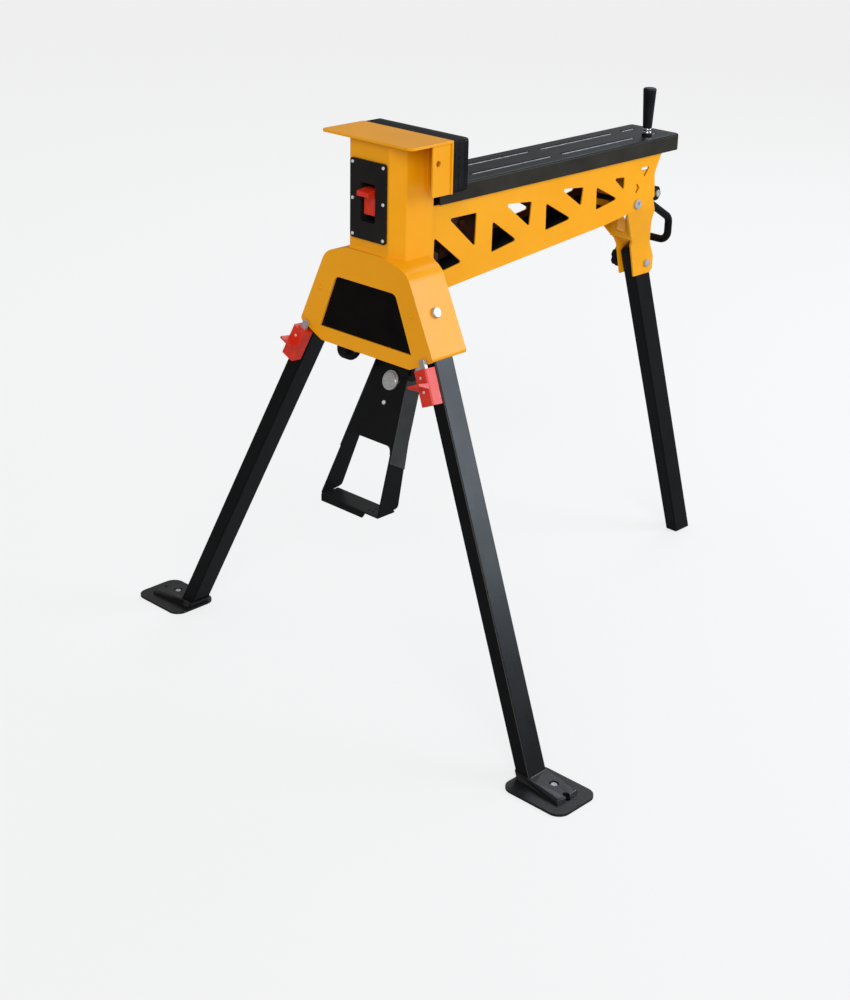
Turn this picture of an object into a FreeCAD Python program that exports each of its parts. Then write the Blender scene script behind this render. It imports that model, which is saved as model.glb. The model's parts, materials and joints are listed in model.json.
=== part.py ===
import FreeCAD, Part
import math
import os

os.makedirs("parts", exist_ok=True)

V = FreeCAD.Vector

# Portable clamping workbench. The row's X is the width, with the plane X = 0
# as the plane of symmetry. Y runs from the column, where the user stands, to
# the rear leg. Z is up from the floor. Lengths are in millimetres. Inside this
# script Y = 0 is the front face of the column; the last lines move the whole
# bench so that the origin lies on the floor in the middle of its footprint.

# General sheet, clearances and fasteners
sheet = 3.0
seat_gap = 0.3
pin_gap = 0.05
cut_over = 10.0
touch = 1.0
chamfer_half_deg = 22.5
rivet_r = 3.4
rivet_head = 2.0
nut_high = 7.0
nut_flats = 16.0
bolt_head_share = 0.8
axle_head_share = 1.5
slot_round_share = 0.98

# Leg tube, shared by the three legs
tube_width = 25.0
tube_depth = 39.0
tube_wall = 2.0
tube_round = 3.0

# Front legs
front_lean_deg = 25.2
front_rake_deg = 5.4
front_head = 18.0
front_head_round = 8.0
front_pivot_x = 98.3
front_pivot_y = 25.1
front_pivot_z = 628.5
front_bolt_r = 5.0
front_bolt_head_r = 8.0
front_bolt_head = 5.0
leg_bracket_up = 20.0
leg_bracket_down = 30.0
leg_bracket_back = 58.0
leg_bracket_gap = 0.8
leg_reach_share = 1.05

# Heights: the leg pivots carry the skirt, the skirt the column, and that the table
skirt_drop = 77.5
skirt_high = 143.0
skirt_roof = 13.0
column_rise = 168.0
skirt_bottom = front_pivot_z - skirt_drop
skirt_shoulder = skirt_bottom + skirt_high
skirt_neck = skirt_shoulder + skirt_roof
jaw_top = skirt_neck + column_rise

# Jaw and table
jaw_half = 92.7
jaw_high = 77.5
jaw_bottom = jaw_top - jaw_high
table_thick = 4.0
table_front = -9.6
table_corner = 9.0
bracket_back = 77.0
cheek_deep = 40.0
cheek_left_deep = 20.0
cheek_inset = 2.2
cheek_corner = 2.5
ear_deep = 19.0
bracket_hole_in = 28.5
bracket_hole_drop = 30.0
bracket_hole_r = 4.5
bracket_hole_y = bracket_back - bracket_hole_in
bracket_hole_z = jaw_top - bracket_hole_drop
pad_thick = 11.0
pad_gap = 0.4
pad_edge = 5.0
pad_groove = 2.0
pad_groove_rows = 5
pad_screw_share = 0.755
pad_screw_drop = 39.0
pad_screw_x = jaw_half * pad_screw_share
pad_screw_z = jaw_top - pad_screw_drop
pad_screw_r = 4.0
pad_screw_sink = 1.0
pad_screw_head = 4.0
fixed_pad_face = bracket_back + pad_thick
moving_pad_face = fixed_pad_face + pad_gap
jaw_plate_front = moving_pad_face + pad_thick
jaw_plate_thick = 9.0
jaw_toe = 6.0

# Column
column_face_half = 40.0
column_chamfer = 18.0
column_lap = 30.0
column_bend = 4.0
column_half = column_face_half + column_chamfer
column_back = bracket_back - sheet
column_bottom = skirt_shoulder - column_lap
column_top = jaw_top - table_thick

# Switch plate on the column
switch_margin = 3.0
switch_share = 0.6976
switch_drop = 33.0
switch_half = column_face_half - switch_margin
switch_top = jaw_top - switch_drop
switch_high = column_rise * switch_share
switch_bottom = switch_top - switch_high
switch_thick = 3.0
switch_corner = 5.0
switch_slot_half = 15.0
switch_slot_shares = (0.2321, 0.7184)
switch_slot_bottom = switch_bottom + switch_high * switch_slot_shares[0]
switch_slot_top = switch_bottom + switch_high * switch_slot_shares[1]
switch_slot_corner = 3.0
switch_screw_inset = 5.5
switch_screw_x = switch_half - switch_screw_inset
switch_screw_r = 2.6
switch_screw_head = 1.6
switch_screw_long = 9.0
switch_box_depth = 38.0
switch_box_wall = 2.0

# Red lever in the switch
lever_half = 12.0
lever_pivot_y = 12.0
lever_face_y = 1.5
lever_foot_gap = 10.0
lever_head_gap = 8.0
lever_pivot_z = (switch_slot_bottom + switch_slot_top) / 2
lever_stem_bottom = switch_slot_bottom + lever_foot_gap
lever_stem_top = switch_slot_top - lever_head_gap
lever_tab_out = 16.0
lever_tab_thick = 12.0
lever_round = 2.5
lever_pin_r = 2.5

# Leg skirt, as wide as the leg tubes and their clearance need
skirt_room = 13.2
skirt_side_gap = 0.83
skirt_elbow_rise = 23.0
skirt_elbow_in = 47.5
skirt_roof_wide = 45.5
skirt_back_inset = 9.6
skirt_fold_rise = 18.0
skirt_round = 34.0
skirt_elbow_round = 6.0
lean_cos = math.cos(math.radians(front_lean_deg))
lean_sin = math.sin(math.radians(front_lean_deg))
skirt_elbow = skirt_bottom + skirt_elbow_rise
skirt_side_out = tube_width / 2 + skirt_side_gap + sheet
skirt_elbow_half = front_pivot_x + (skirt_side_out + (front_pivot_z - skirt_elbow) * lean_sin) / lean_cos
skirt_bottom_half = skirt_elbow_half - skirt_elbow_in
skirt_shoulder_half = column_face_half + skirt_roof_wide
skirt_front = front_pivot_y - tube_depth / 2 - skirt_room
skirt_back = column_back - skirt_back_inset
skirt_fold_low = skirt_shoulder
skirt_fold_high = skirt_fold_low + skirt_fold_rise
panel_low_rise = 22.7
panel_top_drop = 35.3
panel_low_wide = 2.8
panel_taper = 34.7
panel_bottom = skirt_bottom + panel_low_rise
panel_top = skirt_shoulder - panel_top_drop
panel_bottom_half = skirt_bottom_half + panel_low_wide
panel_top_half = panel_bottom_half - panel_taper
panel_round = 11.0
panel_lap = 3.0
panel_thick = 2.0
skirt_rivet_out = 33.7
skirt_rivet_drop = 24.7
skirt_rivet_x = panel_top_half + skirt_rivet_out
skirt_rivet_z = panel_top - skirt_rivet_drop

# Sliding beam
slide_inset = 3.2
slide_lap = 4.7
slide_high = 27.0
slide_gap = 0.5
slide_over = 40.8
slide_wall = 3.0
slide_corner = 8.0
slide_edge = 3.5
slide_top = jaw_bottom
slide_bottom = slide_top - slide_high
slide_half = column_half - sheet - slide_inset
slide_front = jaw_plate_front - slide_lap
bead_x = 23.0
bead_half = 4.5
bead_deep = 1.2
bead_start_share = 0.1627
bead_pitch_share = 0.362
bead_long_shares = (0.3176, 0.3176, 0.058)

# Side plates, a pair of cut and folded trusses, and the tray between their feet
truss_inset = 12.0
truss_long = 629.2
truss_foot_drop = 64.2
truss_lip = 17.0
truss_round = 5.0
truss_out = column_half - truss_inset
truss_in = truss_out - sheet
truss_front = truss_out - column_face_half + sheet * math.hypot(1, 1) + pin_gap
truss_back = truss_front + truss_long
truss_top = slide_bottom - slide_gap
truss_bottom = skirt_shoulder - truss_foot_drop
truss_deep = truss_top - truss_bottom
truss_heel_share = 0.3817
truss_heel = truss_bottom + truss_deep * truss_heel_share
truss_outline_shares = [(0, 1), (1, 1), (0.9749, 0.7682), (0.9822, 0.4744), (0.9277, truss_heel_share),
                        (0.7777, 0.2883), (0, 0)]
tray_sheet = 2.5
tray_rise = 2.0
tray_flange = 20.0
tray_end_gap = 2.0
slide_back = truss_back + slide_over

# Windows of a truss, as points in shares of its length and depth
truss_window_shares = [
    [(0.1268, 0.657), (0.2249, 0.309), (0.1605, 0.2676), (0.1251, 0.4366)],
    [(0.1751, 0.8217), (0.2729, 0.816), (0.2697, 0.4437)],
    [(0.3311, 0.6769), (0.4234, 0.3931), (0.3301, 0.3275)],
    [(0.3757, 0.8296), (0.4749, 0.7889), (0.4688, 0.5101)],
    [(0.5304, 0.7276), (0.6327, 0.4751), (0.5321, 0.4145)],
    [(0.5869, 0.846), (0.6764, 0.8053), (0.6697, 0.5928)],
    [(0.7298, 0.7675), (0.8209, 0.5664), (0.7319, 0.4987)],
    [(0.7988, 0.8217), (0.8454, 0.8032), (0.845, 0.6513)],
    [(0.9121, 0.8745), (0.9522, 0.8652), (0.931, 0.744)],
    [(0.897, 0.7247), (0.9127, 0.6284), (0.8954, 0.5457)]]

# Guide blocks of the beam
runner_side_gap = 0.5
runner_wing_gap = 7.0
runner_drop = 12.0
runner_half = truss_out - truss_lip - runner_side_gap
runner_wing = truss_in - runner_wing_gap
runner_low = truss_top - runner_drop
runner_shares = [(0.01, 0.16), (0.55, 0.66)]

# Rear yoke
yoke_long = 80.0
yoke_top_drop = 25.0
yoke_joggle_drop = 10.3
yoke_joggle_high = 67.0
yoke_low_high = 55.0
yoke_low_inset = 14.5
yoke_low_deep = 51.5
yoke_web_inset = 19.0
yoke_web_drop = 32.0
yoke_apron_y = 40.5
yoke_apron_rise = 16.0
yoke_apron_high = 38.0
yoke_notch_half = 9.0
yoke_notch_rise = 10.0
yoke_bolt_inset = 59.5
yoke_bolt_rise = 8.0
yoke_front = truss_back - yoke_long
yoke_top = truss_top - yoke_top_drop
yoke_joggle_top = truss_heel - yoke_joggle_drop
yoke_joggle_bottom = yoke_joggle_top - yoke_joggle_high
yoke_low_bottom = yoke_joggle_bottom - yoke_low_high
yoke_low_front = truss_back - yoke_low_inset
yoke_low_back = yoke_low_front + yoke_low_deep
yoke_web_back = truss_back - yoke_web_inset
yoke_web_bottom = yoke_joggle_top
yoke_web_top = truss_top - yoke_web_drop
yoke_bolt_y = truss_back - yoke_bolt_inset
yoke_bolt_z = truss_heel + yoke_bolt_rise
yoke_bolt_r = 5.0
yoke_bolt_head_r = 8.0
yoke_bolt_head = 4.0
yoke_socket_share = 1.4
yoke_outline_shares = [(0.0556, 1), (0.4487, 1), (0.5, 0.8144), (0.6026, 0.7165), (0.659, 0.6124),
                       (0.6966, 0.5103), (0.8932, 0.2835), (1, 0.1392), (1, 0.0309), (0.9402, 0), (0.5598, 0),
                       (0.4231, 0.3351), (0.3291, 0.3969), (0.0171, 0.634), (0, 0.7165)]
leg_side_gap = 0.9

# Rear leg
rear_pivot_in = 32.0
rear_pivot_rise = 19.0
rear_pivot_back = 8.9
rear_lean_deg = 19.1
rear_pivot_y = yoke_low_front + rear_pivot_in
rear_pivot_z = yoke_low_bottom + rear_pivot_rise
rear_foot_y = rear_pivot_y - rear_pivot_back + rear_pivot_z * math.tan(math.radians(rear_lean_deg))
rear_head = 36.0
rear_cap_high = 14.0
rear_cap_round = 2.0
rear_bolt_r = 5.0
rear_stud_long = 34.0
knob_r = 18.0
knob_thick = 30.0
knob_lobes = 6
knob_flute_r = 5.0

# Feet, placed from where the middle line of a leg meets the floor
foot_heel = 20.0
foot_toe = 94.0
foot_fore = 51.0
foot_aft = 36.5
foot_thick = 4.0
foot_corner_share = 0.22
foot_socket_high = 15.0
foot_socket_wall = 1.5
foot_ridge_half = 20.0
foot_ridge_toe_half = 23.0
foot_ridge_low = 5.0
foot_toe_margin = 22.0
foot_hole_r = 5.0
foot_hole_long = 6.0
foot_hole_out = 69.0
foot_hole_floor = 1.0
foot_washer_r = 7.0
foot_washer = 1.0
foot_screw_r = 4.5
foot_screw_head = 3.0
foot_screw_out = 39.5
foot_screw_seat = 8.0

# Leg latches, hung below the skirt's lower edge
latch_clear = 8.1
latch_long = 54.0
latch_deep = 22.0
latch_wall = 2.5
latch_round = 3.0
latch_slot_half = 6.0
latch_slot_drop = 13.0
latch_bolt_half = 5.0
latch_bolt_near = 8.2
latch_bolt_deep = 6.0
latch_bolt_rise = 14.0
latch_tab_out = 18.0
latch_tab_thick = 7.0
latch_tab_drop = 27.0
latch_tab_half = 12.5
latch_guide_neck = 5.6
latch_guide_half = 9.6
latch_guide_deep = 12.0
latch_guide_drop = 25.0
latch_guide_long = 14.0
latch_rivet_r = 2.2
latch_rivet_head = 0.8
latch_rivet_drop = 12.0
latch_rivet_pitch = 21.0
skirt_edge_down = (skirt_elbow_half - front_pivot_x) * lean_sin + (front_pivot_z - skirt_elbow) * lean_cos
latch_top = -skirt_edge_down - latch_clear

# Transport wheels under the skirt
wheel_r = 20.0
wheel_wide = 18.0
wheel_x = 66.0
wheel_drop = 11.0
wheel_y = front_pivot_y
wheel_z = skirt_bottom - wheel_drop
wheel_side_gap = 0.5
wheel_axle_r = 4.0
wheel_bracket_rise = 25.0
wheel_bracket_aft = 15.0
wheel_cheek_fore = 12.0
wheel_bracket_top = wheel_z + wheel_bracket_rise
wheel_round = 3.0

# Pedal, hung from its axle
pedal_pivot_y = 60.0
pedal_pivot_drop = 22.5
pedal_hang = 78.0
pedal_hang_fore = 5.2
pedal_long = 210.0
pedal_reach = 91.8
pedal_window_drop = 116.0
pedal_floor_drop = 4.0
pedal_lip_deep = 12.0
pedal_truss_gap = 9.0
pedal_half_top = truss_in - pedal_truss_gap
pedal_flare_wide = 29.5
pedal_pivot_z = front_pivot_z - pedal_pivot_drop
pedal_top_z = pedal_pivot_z - pedal_hang
pedal_top_y = pedal_pivot_y - pedal_hang_fore
pedal_low_z = pedal_top_z - pedal_long
pedal_low_y = pedal_top_y - pedal_reach
pedal_half_low = pedal_half_top + pedal_flare_wide
pedal_window_top_z = pedal_top_z - pedal_window_drop
pedal_floor_z = pedal_low_z - pedal_floor_drop
pedal_lip_low = pedal_floor_z - pedal_lip_deep
pedal_axle_r = 5.0
pedal_sheet = 2.6
pedal_window_round = 10.0
pedal_flange_top = 34.0
pedal_flange_window = 33.0
pedal_flange_low = 44.0
pedal_heel_rise = 6.0
pedal_heel_round = 8.0
pedal_toe_round = 4.0
pedal_floor_deep = 36.0
pedal_lip_out = 28.0
pedal_lip_slant = 8.0
pedal_dimple_r = 1.6
pedal_dimple_x = 34.0
pedal_dimple_pitch = 9.0
pedal_rail_drop = 23.0
pedal_rail_z = pedal_window_top_z - pedal_rail_drop
pedal_rail_fall = 18.0
pedal_sleeve_sheet = 2.0
pedal_ear_r = 14.0
button_x = 7.0
button_drop = 28.0
button_z = pedal_top_z - button_drop
button_r = 12.5
button_ring_r = 15.5
button_ring_high = 3.0
button_cap_high = 2.0
pedal_rivet_drop = 32.5
pedal_rivet_z = button_z - pedal_rivet_drop
pedal_rivet_r = 3.2

# Bracket that carries the pedal's axle and the clutch's bolt
pedal_bracket_gap = 3.0
pedal_bracket_fore = 16.0
pedal_bracket_aft = 56.0
pedal_bracket_down = 10.0
pedal_bracket_up = 39.0
pedal_bracket_front = pedal_pivot_y - pedal_bracket_fore
pedal_bracket_back = pedal_pivot_y + pedal_bracket_aft
pedal_bracket_low = pedal_pivot_z - pedal_bracket_down
pedal_bracket_top = pedal_pivot_z + pedal_bracket_up
pedal_axle_over = 4.0
clutch_bolt_aft = 40.0
clutch_bolt_rise = 43.0
clutch_ear_rise = 16.0
clutch_truss_gap = 13.0
clutch_ear_in = truss_in - clutch_truss_gap
clutch_bolt_y = pedal_pivot_y + clutch_bolt_aft
clutch_bolt_z = pedal_bracket_top + clutch_bolt_rise
clutch_bolt_r = 5.0
clutch_spacer_r = 8.0
clutch_nut_high = 4.0
clutch_ear_top = clutch_bolt_z + clutch_ear_rise

# Push handle at the rear of the beam
handle_x = 26.0
handle_inset = 59.3
handle_y = slide_back - handle_inset
handle_foot_r = 8.5
handle_foot_high = 3.0
handle_ring_r = 8.0
handle_ring_high = 5.0
handle_ring_count = 2
handle_stud_r = 4.0
grip_low_r = 7.6
grip_top_r = 11.2
grip_high = 65.5
grip_round = 3.0
grip_bore_share = 0.92
grip_stud_share = 0.9

# Carry handle at the rear, between two ears on the yoke's web
carry_half = 27.0
carry_tube_r = 6.5
carry_mount_drop = 45.0
carry_mount_z = yoke_web_top - carry_mount_drop
carry_out = 79.5
carry_drop = 89.0
carry_fall = 48.0
carry_bend = 16.0
carry_ear_long = 44.0
carry_ear_low = 10.0
carry_ear_high = 14.0
carry_ear_half = 3.0
carry_ear_round = 9.0
carry_bolt_out = 35.5
carry_bolt_rise = 2.0
carry_bolt_r = 3.0
carry_bolt_head_r = 6.0
carry_bolt_head = 4.0


def box(x0, x1, y0, y1, z0, z1):
    """Box between two corners."""
    return Part.makeBox(x1 - x0, y1 - y0, z1 - z0, V(x0, y0, z0))


def rod(start, end, radius):
    """Round bar from one point to another."""
    along = end - start
    return Part.makeCylinder(radius, along.Length, start, along)


def prism(points, push):
    """Solid pushed along a vector from a closed outline of points."""
    wire = Part.makePolygon(points + [points[0]])
    return Part.Face(wire).extrude(push)


def hexagon(centre, axis, flats, high):
    """Hexagon bar of the given width across its flats."""
    corner = flats / math.sqrt(3.0)
    steps = range(6)
    ring = [V(corner * math.cos(math.pi / 3 * i), corner * math.sin(math.pi / 3 * i), 0) for i in steps]
    bar = prism(ring, V(0, 0, high))
    bar.Placement = FreeCAD.Placement(centre, FreeCAD.Rotation(V(0, 0, 1), axis))
    return bar


def round_edges(shape, radius, wanted):
    """Fillets the edges that the test picks."""
    edges = [edge for edge in shape.Edges if wanted(edge)]
    return shape.makeFillet(radius, edges)


def runs_along(edge, axis):
    """True for a straight edge that is parallel to the axis."""
    if not isinstance(edge.Curve, Part.Line):
        return False
    return edge.Curve.Direction.cross(axis).Length < 1e-6


def mirror_point(point):
    """The point on the other side of the plane of symmetry."""
    return V(-point.x, point.y, point.z)


def mirrored(shape):
    """Copy on the other side of the plane of symmetry."""
    return shape.mirror(V(0, 0, 0), V(1, 0, 0))


def both(shape):
    """Group of a shape and its mirror image."""
    return Part.makeCompound([shape, mirrored(shape)])


def one(shapes):
    """Fuses a list of shapes into one clean solid."""
    return shapes[0].multiFuse(shapes[1:]).removeSplitter()


X_AXIS = V(1, 0, 0)
Y_AXIS = V(0, 1, 0)
Z_AXIS = V(0, 0, 1)

def column_outline(inset):
    """Outline of the folded column, open at its back, moved in by inset."""
    slant = inset * math.tan(math.radians(chamfer_half_deg))
    face = column_face_half - slant
    side = column_half - inset
    turn = column_chamfer + slant
    half = [V(side, column_back, 0), V(side, turn, 0), V(face, inset, 0)]
    return half + [V(-p.x, p.y, 0) for p in reversed(half)]


def column_block(inset, z0, z1):
    """Solid block of the column's outline between two heights."""
    points = [p + V(0, 0, z0) for p in column_outline(inset)]
    return prism(points, V(0, 0, z1 - z0))


def column_housing():
    """Column folded from sheet, with the switch opening in its face."""
    shell = column_block(0, column_bottom, column_top)
    shell = round_edges(shell, column_bend,
                        lambda e: runs_along(e, Z_AXIS) and e.CenterOfMass.y < column_back / 2)
    hollow = column_block(sheet, column_bottom - cut_over, column_top + cut_over)
    shell = shell.cut(hollow)
    back = box(-column_half + sheet, column_half - sheet, column_back / 2, column_back + cut_over,
               column_bottom - cut_over, column_top + cut_over)
    shell = shell.cut(back)
    room = switch_box_wall + seat_gap
    slot = box(-switch_slot_half - room, switch_slot_half + room, -cut_over, cut_over,
               switch_slot_bottom - room, switch_slot_top + room)
    shell = shell.cut(slot)
    for x, z in switch_screw_places():
        shell = shell.cut(rod(V(x, -cut_over, z), V(x, cut_over, z), switch_screw_r))
    return shell


def skirt_outline(inset, drop):
    """Front outline of the skirt, moved in by inset, its foot lowered."""
    fall = (skirt_neck - skirt_shoulder) / (skirt_shoulder_half - column_face_half)
    flat = inset * math.hypot(1, fall)
    side = inset / lean_cos
    shoulder_z = skirt_shoulder - flat
    slope = lean_sin / lean_cos
    reach = skirt_elbow_half - side
    foot_z = skirt_elbow - drop
    foot_x = reach + slope * drop
    corner_x = reach + slope * (skirt_elbow - shoulder_z) - fall * slope * skirt_shoulder_half
    corner_x = corner_x / (1 - fall * slope)
    corner_z = shoulder_z - fall * (corner_x - skirt_shoulder_half)
    neck_z = skirt_neck - flat
    half = [V(column_face_half, 0, neck_z), V(corner_x, 0, corner_z), V(foot_x, 0, foot_z)]
    return half


def leg_skirt():
    """Box of folded sheet that carries the front legs, open below and behind."""
    outer = skirt_outline(0, 0) + [V(skirt_bottom_half, 0, skirt_bottom)]
    outer = outer + [V(-p.x, 0, p.z) for p in reversed(outer)]
    outer = [p + V(0, skirt_front, 0) for p in outer]
    body = prism(outer, V(0, skirt_back - skirt_front, 0))

    def shoulder(edge):
        middle = edge.CenterOfMass
        wide = abs(middle.x) > column_half
        return runs_along(edge, Y_AXIS) and wide and middle.z > skirt_elbow + cut_over

    def elbow(edge):
        middle = edge.CenterOfMass
        return runs_along(edge, Y_AXIS) and abs(middle.z - skirt_elbow) < sheet

    body = round_edges(body, skirt_round, shoulder)
    body = round_edges(body, skirt_elbow_round, elbow)
    inner = skirt_outline(sheet, skirt_elbow - skirt_bottom + cut_over)
    inner = inner + [V(-p.x, 0, p.z) for p in reversed(inner)]
    inner = [p + V(0, skirt_front + sheet, 0) for p in inner]
    hollow = prism(inner, V(0, skirt_back + cut_over, 0))
    hollow = round_edges(hollow, skirt_round - sheet, shoulder)
    body = body.cut(hollow)
    fold = prism([V(-column_face_half, skirt_front, skirt_fold_low), V(-column_face_half, 0, skirt_fold_high),
                  V(-column_face_half, 0, skirt_fold_low)], V(2 * column_face_half, 0, 0))
    body = one([body, fold])
    body = body.cut(column_block(0, skirt_bottom, column_top))
    body = body.cut(panel_block(0, skirt_front - cut_over, 0))
    for side in (-1, 1):
        x = side * skirt_rivet_x
        body = body.cut(rod(V(x, skirt_front - cut_over, skirt_rivet_z), V(x, 0, skirt_rivet_z), rivet_r / 2))
        start = leg_point(side, 0, 0, 0)
        out = leg_point(side, tube_width, 0, 0)
        body = body.cut(rod(start, out, front_bolt_r))
    return body


def panel_block(grow, y0, y1):
    """Trapezium of the skirt's black panel, grown on all sides."""
    points = [V(-panel_bottom_half - grow, y0, panel_bottom - grow),
              V(panel_bottom_half + grow, y0, panel_bottom - grow),
              V(panel_top_half + grow, y0, panel_top + grow),
              V(-panel_top_half - grow, y0, panel_top + grow)]
    block = prism(points, V(0, y1 - y0, 0))
    middle = (panel_bottom + panel_top) / 2
    return round_edges(block, panel_round, lambda e: runs_along(e, Y_AXIS) and e.CenterOfMass.z > middle)


def skirt_panel():
    """Black sheet behind the opening of the skirt's face."""
    return panel_block(panel_lap, skirt_front + sheet, skirt_front + sheet + panel_thick)


def skirt_rivets():
    """Two rivets in the skirt's face."""
    x, z = skirt_rivet_x, skirt_rivet_z
    top = skirt_front - rivet_head
    head = rod(V(x, top, z), V(x, skirt_front, z), rivet_r)
    head = round_edges(head, rivet_head / 2, lambda e: e.CenterOfMass.y < top + rivet_head / 4)
    shank = rod(V(x, skirt_front, z), V(x, skirt_front + sheet + rivet_head, z), rivet_r / 2)
    return both(one([head, shank]))


def top_plate():
    """Flat table on top of the column."""
    plate = box(-jaw_half, jaw_half, table_front, bracket_back, column_top, jaw_top)

    def corner(edge):
        return runs_along(edge, Z_AXIS) and edge.CenterOfMass.y < 0

    return round_edges(plate, table_corner, corner)


def jaw_cheek(deep):
    """Right cheek of the fixed jaw, of the given depth."""
    x0 = jaw_half - cheek_inset - sheet
    back = bracket_back - sheet
    front = bracket_back - deep
    points = [V(x0, front, column_top), V(x0, back, column_top), V(x0, back, jaw_bottom),
              V(x0, front + cheek_corner, jaw_bottom), V(x0, front, jaw_bottom + cheek_corner)]
    return prism(points, V(sheet, 0, 0))


def fixed_jaw_bracket():
    """Back plate of the fixed jaw with a cheek at each end and ears beside the column."""
    back = box(-jaw_half, jaw_half, bracket_back - sheet, bracket_back, jaw_bottom, column_top)
    right = jaw_cheek(cheek_deep)
    hole = rod(V(0, bracket_hole_y, bracket_hole_z), V(jaw_half, bracket_hole_y, bracket_hole_z), bracket_hole_r)
    left = mirrored(jaw_cheek(cheek_left_deep))
    ear = box(column_half, column_half + sheet, bracket_back - ear_deep, bracket_back - sheet, jaw_bottom,
              column_top)
    return one([back, right.cut(hole), left, ear, mirrored(ear)])


def jaw_pad(y0):
    """Ribbed pad of a jaw, its front at y0."""
    pad = box(-jaw_half, jaw_half, y0, y0 + pad_thick, jaw_bottom, jaw_top)
    return round_edges(pad, pad_edge, lambda e: runs_along(e, Y_AXIS))


def pad_screw_holes(y0, y1):
    """Sunk screw holes through a pad, sunk at its clamping face y1."""
    sign = 1 if y1 > y0 else -1
    holes = []
    for x in (-pad_screw_x, 0, pad_screw_x):
        holes.append(rod(V(x, y0, pad_screw_z), V(x, y1, pad_screw_z), pad_screw_r / 2 + pin_gap))
        depth = sign * (pad_screw_head + pad_screw_sink)
        holes.append(rod(V(x, y1 - depth, pad_screw_z), V(x, y1 + sign * cut_over, pad_screw_z),
                         pad_screw_r + pin_gap))
    return holes


def grooved(pad, face, sign):
    """Cuts level grip grooves into a pad's clamping face."""
    rise = (jaw_top - jaw_bottom) / (pad_groove_rows + 1)
    for row in range(pad_groove_rows):
        z = jaw_bottom + rise * (row + 1)
        half = pad_groove / 2
        points = [V(-jaw_half - cut_over, face, z - half), V(-jaw_half - cut_over, face, z + half),
                  V(-jaw_half - cut_over, face - sign * half, z)]
        pad = pad.cut(prism(points, V(2 * (jaw_half + cut_over), 0, 0)))
    return pad


def fixed_jaw_pad():
    """Pad screwed to the back plate of the fixed jaw."""
    pad = grooved(jaw_pad(bracket_back), fixed_pad_face, 1)
    for hole in pad_screw_holes(bracket_back, fixed_pad_face):
        pad = pad.cut(hole)
    return pad


def sliding_jaw_pad():
    """Pad screwed to the sliding jaw's plate."""
    pad = grooved(jaw_pad(moving_pad_face), moving_pad_face, -1)
    for hole in pad_screw_holes(jaw_plate_front, moving_pad_face):
        pad = pad.cut(hole)
    return pad


def pad_screws(seat, face):
    """Three countersunk screws that hold a pad."""
    sign = 1 if face > seat else -1
    screws = []
    for x in (-pad_screw_x, 0, pad_screw_x):
        top = face - sign * pad_screw_sink
        head = rod(V(x, top - sign * pad_screw_head, pad_screw_z), V(x, top, pad_screw_z), pad_screw_r)
        shank = rod(V(x, seat, pad_screw_z), V(x, top - sign * pad_screw_head, pad_screw_z), pad_screw_r / 2)
        screws.append(one([head, shank]))
    return Part.makeCompound(screws)


def switch_screw_places():
    """Centres of the six screws of the switch plate."""
    low = switch_bottom + switch_screw_inset
    high = switch_top - switch_screw_inset
    rows = (low, (low + high) / 2, high)
    return [(side * switch_screw_x, z) for side in (-1, 1) for z in rows]


def switch_plate():
    """Black plate with a slot and a box behind it for the lever."""
    plate = box(-switch_half, switch_half, -switch_thick, 0, switch_bottom, switch_top)
    plate = round_edges(plate, switch_corner, lambda e: runs_along(e, Y_AXIS))
    slot = box(-switch_slot_half, switch_slot_half, -cut_over, cut_over, switch_slot_bottom, switch_slot_top)
    slot = round_edges(slot, switch_slot_corner, lambda e: runs_along(e, Y_AXIS))
    wall = switch_box_wall
    case = box(-switch_slot_half - wall, switch_slot_half + wall, 0, switch_box_depth,
               switch_slot_bottom - wall, switch_slot_top + wall)
    room = box(-switch_slot_half, switch_slot_half, -cut_over, switch_box_depth - wall,
               switch_slot_bottom, switch_slot_top)
    plate = one([plate.cut(slot), case.cut(room)])
    end = V(switch_half, lever_pivot_y, lever_pivot_z)
    pin = rod(mirror_point(end), end, lever_pin_r)
    plate = plate.cut(pin)
    for x, z in switch_screw_places():
        plate = plate.cut(rod(V(x, -cut_over, z), V(x, 0, z), switch_screw_r / 2))
    return plate


def switch_plate_screws():
    """Six pan-head screws of the switch plate."""
    screws = []
    for x, z in switch_screw_places():
        head_top = -switch_thick - switch_screw_head
        head = rod(V(x, head_top, z), V(x, -switch_thick, z), switch_screw_r)
        bound = head_top + switch_screw_head / 2
        head = round_edges(head, switch_screw_head / 2, lambda e: e.CenterOfMass.y < bound)
        shank = rod(V(x, -switch_thick, z), V(x, switch_screw_long - switch_thick, z), switch_screw_r / 2)
        screws.append(one([head, shank]))
    return Part.makeCompound(screws)


def switch_pin():
    """Pin across the switch box on which the lever turns."""
    half = switch_slot_half + switch_box_wall
    return rod(V(-half, lever_pivot_y, lever_pivot_z), V(half, lever_pivot_y, lever_pivot_z), lever_pin_r)


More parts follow.
